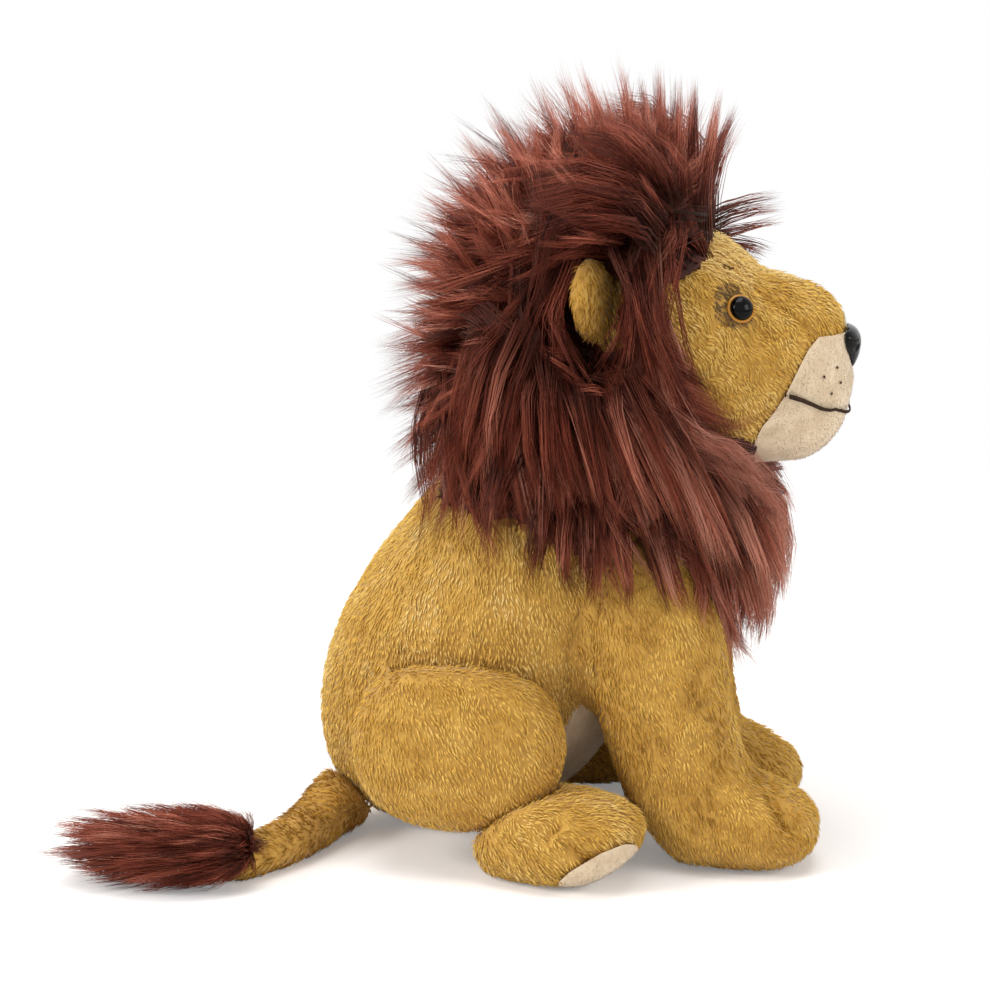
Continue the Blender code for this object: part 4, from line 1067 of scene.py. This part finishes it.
FORELOCKS = (
    # root, middle and tip, each in pixels across and down and millimetres to the left
    ((704, 222, 14), (742, 203, 22), (784, 195, 26)),
    ((704, 230, 16), (746, 211, 25), (789, 207, 30)),
    ((706, 238, 18), (748, 228, 28), (783, 221, 32)),
    ((708, 240, 20), (748, 243, 30), (776, 252, 34)),
    ((708, 246, 20), (744, 250, 30), (768, 259, 34)),
)
OUTLINE = (
    # root, middle and tip of the locks that stand out against the paper, front to back
    ((706, 216), (712, 158), (735, 104)), ((702, 222), (704, 158), (717, 88)),
    ((694, 215), (692, 150), (695, 78)), ((686, 212), (676, 142), (677, 71)),
    ((676, 214), (662, 145), (657, 66)), ((668, 205), (650, 142), (641, 74)),
    ((660, 205), (637, 140), (618, 60)), ((655, 205), (622, 145), (600, 84)),
    ((648, 205), (608, 145), (581, 64)), ((640, 205), (592, 150), (562, 70)),
    ((630, 205), (575, 160), (534, 74)), ((620, 210), (560, 175), (514, 110)),
    ((610, 215), (545, 185), (494, 104)), ((600, 220), (532, 192), (478, 130)),
    ((595, 228), (520, 200), (459, 130)), ((590, 236), (515, 214), (438, 168)),
    ((580, 245), (505, 226), (416, 196)), ((570, 252), (495, 240), (404, 221)),
    ((560, 262), (485, 256), (395, 250)), ((550, 275), (475, 273), (390, 286)),
    ((545, 290), (470, 294), (394, 312)), ((535, 300), (465, 314), (379, 343)),
    ((530, 315), (462, 333), (384, 362)), ((525, 325), (460, 351), (379, 386)),
    ((520, 340), (460, 376), (394, 414)), ((515, 350), (462, 396), (388, 453)),
    ((510, 365), (465, 420), (402, 496)), ((505, 375), (472, 430), (414, 480)),
)
SWEPT = (
    # root, middle and tip over the side of the mane: over the ear, beside it, and the hem
    ((662, 232), (610, 206), (528, 222)), ((658, 224), (600, 195), (510, 213)),
    ((664, 216), (606, 184), (516, 194)), ((668, 206), (612, 170), (536, 168)),
    ((656, 240), (624, 222), (562, 228)), ((672, 196), (628, 156), (566, 138)),
    ((676, 190), (640, 146), (590, 116)), ((682, 200), (657, 160), (622, 126)),
    ((560, 352), (558, 420), (578, 500)), ((520, 330), (504, 400), (500, 480)),
    ((480, 330), (468, 400), (460, 468)), ((600, 362), (625, 440), (652, 522)),
    ((620, 380), (655, 460), (692, 552)), ((640, 400), (690, 492), (722, 592)),
    ((660, 420), (706, 504), (746, 606)), ((580, 372), (590, 450), (612, 540)),
    ((540, 360), (534, 430), (546, 512)), ((500, 452), (494, 494), (489, 536)),
    ((545, 490), (542, 540), (534, 584)), ((560, 500), (562, 550), (566, 592)),
    ((590, 510), (592, 560), (587, 600)), ((620, 520), (626, 566), (636, 606)),
    ((655, 525), (668, 575), (680, 612)), ((685, 530), (697, 582), (698, 628)),
    ((715, 555), (732, 618), (741, 674)), ((735, 545), (750, 600), (754, 650)),
    ((755, 520), (768, 562), (778, 600)), ((720, 470), (748, 540), (764, 612)),
)
face_tree = skins_tree("head_skin", "muzzle_skin", "chin_skin")
side_tree = skins_tree("torso_skin", "front_leg_right_skin", "shoulder_right_gusset",
                        also=[mane_form.data])


def bowed(one, two, three):
    """A smooth curve from one point past another to a third."""
    share = np.linspace(0, 1, STATIONS)[:, None]
    control = 2 * two - (one + three) / 2
    return (1 - share) ** 2 * one + 2 * (1 - share) * share * control + share ** 2 * three


def at_depth(across, down, left):
    """The point that a pixel shows, so many metres to the lion's left."""
    way = sight(across, down)
    return np.array(camera.location + way * ((left - camera.location.y) / way.y))


draw = np.random.default_rng(51)
face_paths, face_ups, face_tones = [], [], []


def lay_on(rows, tree, copies, spread, lifts, tone_of):
    """Locks that follow rows of pixels over a surface, with the same on the far side."""
    for row in rows:
        for _ in range(copies):
            shift = draw.normal(0, spread, 2)
            spots = [seen_at(across + shift[0] + draw.normal(0, 2),
                             down + shift[1] + draw.normal(0, 2), tree)
                     for across, down in row]
            points = [spot + normal * draw.uniform(*lift) / 1000
                      for (spot, normal), lift in zip(spots, lifts)]
            sag = np.linalg.norm(points[1] - (points[0] + points[2]) / 2)
            if sag > 0.4 * np.linalg.norm(points[2] - points[0]):
                continue
            for side in (1, -1):
                mirror = np.array([1, side, 1])
                curve = laid_over(bowed(*[point * mirror for point in points]))
                face_paths.append(curve)
                face_ups.append(spots[1][1] * mirror)
                face_tones.append(tone_of(row))


lay_on(CHEEK[:6], face_tree, 8, 4.0, ((-1, -1), (5, 10), (8, 16)), lambda row: 0.42)
lay_on(CHEEK[6:], face_tree, 7, 4.5, ((-1, -1), (4, 9), (1.5, 6)),
       lambda row: 0.36 + 0.24 * (row[2][1] - 290) / 260)
# Swept locks get lighter towards the front of the chest: painted highlight where the light falls
# there.
lay_on(SWEPT, side_tree, 6, 6.0, ((-8, -4), (1, 5), (0.5, 4)),
       lambda row: 0.38 + 0.60 * max(0, (row[2][0] - 580) / 200))
for row in FORELOCKS:
    for _ in range(2):
        shift = draw.normal(0, 1.8, 2)
        face_paths.append(bowed(*[at_depth(across + shift[0], down + shift[1], left / 1000)
                                  for across, down, left in row]))
        face_ups.append(np.array([0.0, 0.6, 0.8]))
        face_tones.append(0.5)
for row in OUTLINE:
    for _ in range(9):
        left = draw.uniform(-1, 1)
        shift = draw.normal(0, 3.0, 2) + np.array([0, 20 * left ** 2])
        fan = (left * 0.022, left * 0.030 + draw.normal(0, 0.002),
               left * 0.042 + draw.normal(0, 0.005))
        face_paths.append(bowed(*[at_depth(across + shift[0], down + shift[1], reach)
                                  for (across, down), reach in zip(row, fan)]))
        face_ups.append(np.array([0.0, -1.0, 0.3]))
        face_tones.append(0.52)
print("locks laid by hand", len(face_paths))

# %% Share the locks out among the mane's solids and split them into hairs
lock_curves = np.concatenate([outer[0], inner[0], np.array(face_paths)])
lock_ups = np.concatenate([outer[1], inner[1], np.array(face_ups)])
lock_tones = np.concatenate([outer[2], inner[2] - INNER_PAINTED_SHADE, np.array(face_tones)])

node_trees = {node: tree_of(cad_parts[node].data) for node in MANE}
tips = lock_curves[:, -1]
gaps = np.array([[node_trees[node].find_nearest(Vector(tip))[3] for node in MANE]
                 for tip in tips])
owner = gaps.argmin(1)
for number, node in enumerate(MANE):
    mine = owner == number
    grown, up, tone = hairs(lock_curves[mine], lock_ups[mine], lock_tones[mine],
                            HAIRS_IN_LOCK, LOCK_SPREAD, 20 + number)
    batches = math.ceil(len(grown) / MOST_HAIRS)
    for batch in range(batches):
        part = slice(batch, None, batches)
        piece = lay(f"{node}_locks_{batch + 1}", HAIR, grown[part], up[part], HAIR_RADIUS,
                    tone[part], russet_pile)
        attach(piece, "lion")
        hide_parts(node)
        print(piece.name, len(piece.data.polygons))
bpy.data.objects.remove(mane_form)

# %% [markdown]
# Between the locks the same pile shows as a short, dark undercoat.

# %% The short undercoat between the locks
TUFT = spike(2, 2.6)
UNDER_SPACING = 0.0024
UNDER_RADIUS = 0.0005
CHIN_AT = (0.104, 0.185)
for number, cloth in enumerate(backings):
    spots, normals = scatter(cloth.data, UNDER_SPACING, 61 + number)
    covered = np.array([inside(mane_tree, Vector(spot + out * MANE_CLOSE))
                        for spot, out in zip(spots, normals)])
    covered &= (spots[:, 0] < CHIN_AT[0]) | (spots[:, 2] > CHIN_AT[1])
    spots, normals = spots[covered], normals[covered]
    draw = np.random.default_rng(63 + number)
    values = combed(spots)
    flow = np.stack([values[:, 0], np.zeros(len(spots)), values[:, 1]], axis=1)
    flow = unit(flow + draw.normal(0, 0.25, (len(spots), 3)))
    size = draw.uniform(0.005, 0.009, len(spots))[:, None]
    paths = np.stack([spots, spots + (normals * 0.6 + flow * 0.4) * size * 0.5,
                      spots + (normals * 0.55 + flow * 0.8) * size], axis=1)
    piece = lay(cloth.name.replace("backing", "undercoat"), TUFT, paths, normals,
                UNDER_RADIUS, 0.30 + draw.normal(0, 0.1, len(paths)), russet_pile, 0.6)
    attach(piece, "lion")
    print(piece.name, len(piece.data.polygons))

# %% [markdown]
# ## The tuft of the tail
# The same long pile, gathered round the end of the tail and combed straight back.

# %% Grow the tuft
TUFT_SPACING = 0.0034
TUFT_HAIRS = 10
TUFT_SPREAD = 0.0026
TUFT_HAIR_RADIUS = 0.00014
tuft_low, tuft_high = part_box("tail_tuft")
tuft_form = envelope("tuft_form", ["tail_tuft"], 0.0025)
tuft_tree = tree_of(tuft_form.data)
spots, normals = scatter(tuft_form.data, TUFT_SPACING, 31)
draw = np.random.default_rng(32)
tuft_corners = points_of(tuft_form.data)


def core(forward):
    """The middle of the tuft at a place along it."""
    slab = tuft_corners[np.abs(tuft_corners[:, 0] - forward) < 0.004]
    return (slab.min(0) + slab.max(0)) / 2


paths, ups, tones = [], [], []
for spot, normal in zip(spots, normals):
    back = (tuft_high.x - spot[0]) / (tuft_high.x - tuft_low.x)
    root = core(min(spot[0] + draw.uniform(0.022, 0.034), tuft_high.x - 0.006))
    root = root + (spot - root) * np.array([0.0, 0.25, 0.25])
    run = unit(spot - root)
    run = unit(run + np.array([-0.9 * min(1, 0.1 + back * 2.5), 0.0, 0.0])
               + draw.normal(0, 0.20, 3))
    over = draw.uniform(-0.006, 0.003) + (draw.random() < 0.3) * back * draw.uniform(0, 0.018)
    over += (back < 0.2) * 0.003
    end = spot + run * over
    end[2] = max(end[2], 0.0008)
    paths.append(bowed(root, (root + end) / 2 + normal * draw.uniform(0.001, 0.004), end))
    ups.append(normal)
    # Hairs rooted on the upper side get 0.10 more: a painted highlight on the top of the tuft.
    tones.append(0.20 + 0.22 * back + 0.10 * (normal[2] > 0.3))
grown, up, tone = hairs(np.array(paths), np.array(ups), np.array(tones), TUFT_HAIRS,
                        TUFT_SPREAD, 33)
grown[..., 2] = np.maximum(grown[..., 2], 0.0005)
tuft = lay("tail_tuft_locks", HAIR, grown, up, TUFT_HAIR_RADIUS, tone, russet_pile)
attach(tuft, "tail_and_tuft")
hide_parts("tail_tuft")
bpy.data.objects.remove(tuft_form)
print("tuft hairs", len(grown))

# %% [markdown]
# ## Short pile
# Minky is combed one way when it is cut, and leans over by about sixty degrees. Its tufts
# gather in small waves, which is what makes the surface glint and shade in streaks.

# %% Lay the golden pile
PILE_SPACING = 0.00131
PILE_LENGTH = 0.0041
PILE_RADIUS = 0.00042
HEAD_FINER = 0.84
ROOT_LIFT = 0.0015
PALEST = 0.78
EYE_SHADE, EYE_SHADE_REACH = 0.93, 0.0086
EYE_SHADE_SHIFT = np.array([-0.0022, 0, 0.0028])
# Where the painted highlight on the top of the head begins.
HEAD_HIGHLIGHT_FROM = 0.204
GUSSET_NAP = (0.20, -0.98, 0.36, 0.6, 0.42)
EYES = [np.array([0.1139, side * 0.0322, 0.2004]) for side in (-1, 1)]


def buried(spots, normals, own):
    """True where a root lies under another skin or deep in the mane."""
    hidden = np.zeros(len(spots), bool)
    raised = spots + normals * ROOT_LIFT
    for other, tree in skin_trees.items():
        if other == own:
            continue
        low = points_of(skins[other].data).min(0) - 0.001
        high = points_of(skins[other].data).max(0) + 0.001
        close = ((raised > low) & (raised < high)).all(1) & ~hidden
        for index in np.flatnonzero(close):
            hidden[index] = inside(tree, raised[index])
    if own.startswith("ear"):
        return hidden
    for index in np.flatnonzero(~hidden):
        hidden[index] = all(inside(mane_tree, spots[index] + normals[index] * deep)
                            for deep in (MANE_CLOSE, MANE_DEEP))
    return hidden


def short_pile(name, nap, spacing, length, shape, seed):
    """Where the tufts of one skin stand: their roots, normals, paths and tones."""
    own = skins[name]
    spots, normals = scatter(own.data, spacing, seed)
    keep = ~buried(spots, normals, name)
    spots, normals = spots[keep], normals[keep]
    count = len(spots)
    draw = np.random.default_rng(seed + 1)
    forward, upward, lean, ruffle, tone = nap
    flow = np.tile(np.array([forward, 0.0, upward]), (count, 1))
    flow = flow + draw.normal(0, 0.10, (count, 3))
    flow = unit(flow - normals * (flow * normals).sum(1, keepdims=True))
    turn = ruffle * (0.32 * wave(spots, 0.012, 5) + 0.28 * wave(spots, 0.0045, 6))
    turn = turn[:, None]
    flow = flow * np.cos(turn) + np.cross(normals, flow) * np.sin(turn)
    rise = lean + ruffle * 0.16 * wave(spots, 0.004, 7) + draw.normal(0, 0.05, count)
    rise = np.clip(rise, 0.12, 0.9)[:, None]
    size = length * draw.uniform(0.75, 1.2, count)[:, None]
    start = spots - normals * 0.0004
    middle = start + (flow * (1 - rise) + normals * rise) * size * 0.5
    end = start + (flow + normals * rise * 0.9) * size * 0.85
    straight = len(np.unique(shape[0][:, 2].round(3))) == 2
    paths = np.stack([start, end] if straight else [start, middle, end], axis=1)
    paths[..., 2] = np.maximum(paths[..., 2], 0.0003)
    tones = (tone + 0.12 * wave(spots, 0.020, 8) + 0.10 * wave(spots, 0.005, 9)
             + draw.normal(0, 0.035, count))
    # Painted shade: the pile is darkened along each pulled-in crease.
    for line, width, _ in pulled[name]:
        tones -= 0.30 * np.exp(-(gap_to(spots, line) / width) ** 2)
    return spots, normals, paths, np.clip(tones, 0.02, PALEST), draw


def in_seam(spots, near=0.0028):
    """True between the muzzle and the chin, and down the middle under the nose."""
    nose_low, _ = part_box("nose")
    found = []
    for spot in spots:
        to_muzzle = skin_trees["muzzle_skin"].find_nearest(Vector(spot))[3]
        to_chin = skin_trees["chin_skin"].find_nearest(Vector(spot))[3]
        middle = abs(spot[1]) < 0.004 and spot[2] < nose_low.z + 0.006
        found.append(to_muzzle < near and (to_chin < near or middle))
    return np.array(found)


PILED = {node + "_skin": (body, nap) for node, (body, _, nap) in GOLDEN.items()}
PILED |= {f"{place}_{side}_gusset": ("lion", GUSSET_NAP)
          for side in ("right", "left") for place in ("shoulder", "haunch")}
for number, (name, (body, nap)) in enumerate(PILED.items()):
    finer = HEAD_FINER if name == "head_skin" else 1.0
    spots, normals, paths, tone, _ = short_pile(
        name, nap, PILE_SPACING * finer, PILE_LENGTH * finer, TUFT, 100 + 7 * number)
    if name == "head_skin":
        seam = in_seam(spots)
        spots, normals, paths, tone = (rows[~seam] for rows in (spots, normals, paths, tone))
        # Painted highlight: the pile on the top of the head is paler, more so over the 18 mm
        # above this height.
        tone += 0.42 * np.clip((spots[:, 2] - HEAD_HIGHLIGHT_FROM) / 0.018, 0, 1)
        tone = np.minimum(tone, PALEST)
        for eye in EYES:
            away = np.linalg.norm(spots - (eye + EYE_SHADE_SHIFT), axis=1)
            tone[away < EYE_SHADE_REACH] = EYE_SHADE
    piece = lay(name.replace("_skin", "") + "_pile", TUFT, paths, normals, PILE_RADIUS, tone,
                golden_pile, 0.5)
    for cloth in (piece, skins[name]):
        if body == "tail_and_tuft":
            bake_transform(cloth)
        else:
            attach(cloth, body)
    print(piece.name, len(piece.data.polygons))

# %% [markdown]
# Velour is shorn to about a millimetre, so a single straight blade per tuft is enough.

# %% Lay the cream pile
BLADE = spike(1, 1.0)
VELOUR_SPACING = 0.00085
VELOUR_LENGTH = 0.0016
VELOUR_RADIUS = 0.00026
VELOUR_NAP = (0.3, -0.9, 0.6, 0.8, 0.5)
# The tone of the painted shade in the whisker dimples.
DIMPLE_SHADE = 0.05
for number, name in enumerate(CREAM):
    spots, normals, paths, tone, draw = short_pile(
        name, VELOUR_NAP, VELOUR_SPACING, VELOUR_LENGTH, BLADE, 300 + 7 * number)
    tone = np.clip(0.5 + 0.2 * wave(spots, 0.009, 8) + draw.normal(0, 0.12, len(spots)),
                   0.17, 0.98)
    # Painted shade: the velour round each whisker knot is darkened where the cloth dips in.
    for line, width, _ in pulled[name]:
        tone[gap_to(spots, line) < width * 0.75] = DIMPLE_SHADE
    piece = lay(name.replace("_skin", "_pile"), BLADE, paths, normals, VELOUR_RADIUS, tone,
                cream_pile, 0.8)
    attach(piece, "lion")
    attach(skins[name], "lion")
    print(piece.name, len(piece.data.polygons))

# %% [markdown]
# ## Hard parts
# The washers already have their true shape, so they keep it and only get a better finish.
# The eyes are turned afresh with more steps, so that the gloss runs round: a black dome
# in a thin amber flange. The nose is its solid with the corners rounded off.

# %% Turn the eyes
TURN_STEPS = 48
EYE_RADIUS = 0.00505
PUPIL_RADIUS = 0.0043
EYE_AIM = Vector((0.456, 0.808, 0.373)).normalized()


def turned(name, profile, centre, aim, material):
    """A round piece, its profile of (radius, height) points spun about an axis."""
    work = bmesh.new()
    corners = [work.verts.new((radius, 0, height)) for radius, height in profile]
    edges = [work.edges.new(pair) for pair in zip(corners[:-1], corners[1:])]
    bmesh.ops.spin(work, geom=corners + edges, cent=(0, 0, 0), axis=(0, 0, 1), dvec=(0, 0, 0),
                   angle=math.tau, steps=TURN_STEPS, use_merge=True, use_duplicate=False)
    bmesh.ops.remove_doubles(work, verts=work.verts, dist=1e-6)
    bmesh.ops.recalc_face_normals(work, faces=work.faces)
    place = Matrix.Translation(centre) @ aim.to_track_quat("Z", "Y").to_matrix().to_4x4()
    bmesh.ops.transform(work, matrix=place, verts=work.verts)
    return sewn(name, work, material)


def dome(radius, base, rise, steps):
    """The profile of a low dome, from the middle of its back to the middle of its front."""
    turns = [step / steps * math.pi / 2 for step in range(steps + 1)]
    return ([(0, 0), (radius, 0)]
            + [(radius * math.cos(turn), base + rise * math.sin(turn)) for turn in turns[:-1]]
            + [(0, base + rise)])


for side, word in ((-1, "right"), (1, "left")):
    aim = Vector((EYE_AIM.x, side * EYE_AIM.y, EYE_AIM.z))
    centre = Vector(EYES[(side + 1) // 2]) + aim * 0.0002
    flange = turned(f"eye_{word}_flange", dome(EYE_RADIUS, 0.0004, 0.0006, 4), centre, aim,
                    eye_amber)
    pupil = turned(f"eye_{word}_dome", dome(PUPIL_RADIUS, 0.0008, 0.0032, 12), centre, aim,
                   eye_black)
    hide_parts("eye_" + word)
    for piece in (flange, pupil):
        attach(piece, "lion")
    print("eye", word, len(pupil.data.polygons))

# %% Round off the nose and finish the washers
nose = sewn("nose_polished", merged_copy("nose"), nose_black)
rounded(nose, 2)
nose.data.shade_smooth()
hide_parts("nose")
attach(nose, "lion")
for node in ("eye_washer_right", "eye_washer_left", "nose_washer"):
    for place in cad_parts[node].material_slots:
        place.material = washer_white
print("nose faces", len(nose.data.polygons))

# %% [markdown]
# ## Embroidery
# The mouth is satin stitch: short threads side by side across a curve. Each whisker root is
# a knot of three short threads, and the brow has a few long stitches.

# %% Lay the threads
def bead():
    """A thread's end-to-end shape: a small ball drawn out to unit height."""
    work = bmesh.new()
    bmesh.ops.create_uvsphere(work, u_segments=8, v_segments=6, radius=1.0)
    bmesh.ops.triangulate(work, faces=work.faces)
    corners = np.array([corner.co[:] for corner in work.verts])
    corners[:, 2] = (corners[:, 2] + 1) / 2
    faces = np.array([[corner.index for corner in face.verts] for face in work.faces])
    work.free()
    return corners, faces


THREAD = bead()
muzzle_tree = skins_tree("muzzle_skin", "chin_skin")
head_tree = skins_tree("head_skin")


def stitches(name, starts, ends, normals, radius, seed):
    """Threads from starts to ends, proud of the cloth by half their thickness."""
    draw = np.random.default_rng(seed)
    lift = normals * radius * 0.8
    paths = np.stack([starts + lift, (starts + ends) / 2 + lift * 1.6, ends + lift], axis=1)
    piece = lay(name, THREAD, paths, normals, radius,
                0.5 + draw.normal(0, 0.15, len(paths)), brown_thread)
    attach(piece, "lion")


MOUTH = ((786, 394.5), (799, 398.5), (811, 403.5), (820, 407.5), (828, 409),
         (834, 408))
above, above_out = traced([(across, down - 4) for across, down in MOUTH], muzzle_tree, 0.9)
below, below_out = traced([(across, down + 4) for across, down in MOUTH], muzzle_tree, 0.9)
mouth_line, mouth_out = (above + below) / 2, unit(above_out + below_out)
for side in ("right", "left"):
    line, out = ((mouth_line, mouth_out) if side == "right"
                 else other_side(mouth_line, muzzle_tree))
    run = unit(np.gradient(line, axis=0))
    across = unit(np.cross(out, run)) * 0.0009 * np.linspace(1.1, 0.7, len(line))[:, None]
    lift = out * 0.0010
    stitches(f"mouth_stitches_{side}", line - across + lift, line + across + lift, out,
             0.00030, 41)
    starts, ends, outs = [], [], []
    for spot in WHISKERS:
        point, normal = seen_at(*spot, muzzle_tree)
        if side == "left":
            points, normals = other_side(point[None], muzzle_tree)
            point, normal = points[0], normals[0]
        first = unit(np.cross(normal, (0.0, 0.0, 1.0)))
        second = np.cross(normal, first)
        for turn in (0.3, 1.4, 2.4):
            way = first * math.cos(turn) + second * math.sin(turn)
            starts.append(point - way * 0.0006 + normal * 0.0003)
            ends.append(point + way * 0.0006 + normal * 0.0003)
            outs.append(normal)
    stitches(f"whisker_knots_{side}", np.array(starts), np.array(ends), np.array(outs),
             0.00022, 43)
    line, out = traced(BROW, head_tree, 3.0)
    if side == "left":
        line, out = other_side(line, head_tree)
    stitches(f"brow_stitches_{side}", line[:-1] + out[:-1] * 0.0006,
             line[1:] + out[1:] * 0.0006, out[:-1], 0.0003, 44)
# From one corner of the mouth to the other, round the front where the camera can't see.
reach = np.linspace(0, 1, 60)[:, None]
ends = mouth_line[-1], other_side(mouth_line[-1:], muzzle_tree)[0][0]
bow = np.array([0.006, 0.0, -0.0032]) * (4 * reach * (1 - reach))
line = ends[0] * (1 - reach) + ends[1] * reach + bow
found = [muzzle_tree.find_nearest(Vector(spot)) for spot in line]
line = np.array([np.array(hit[0]) for hit in found])
out = np.array([np.array(hit[1]) for hit in found])
across = unit(np.cross(out, unit(np.gradient(line, axis=0)))) * 0.00065
stitches("mouth_stitches_middle", line - across + out * 0.0008, line + across + out * 0.0008,
         out, 0.00028, 42)
print("threads laid")
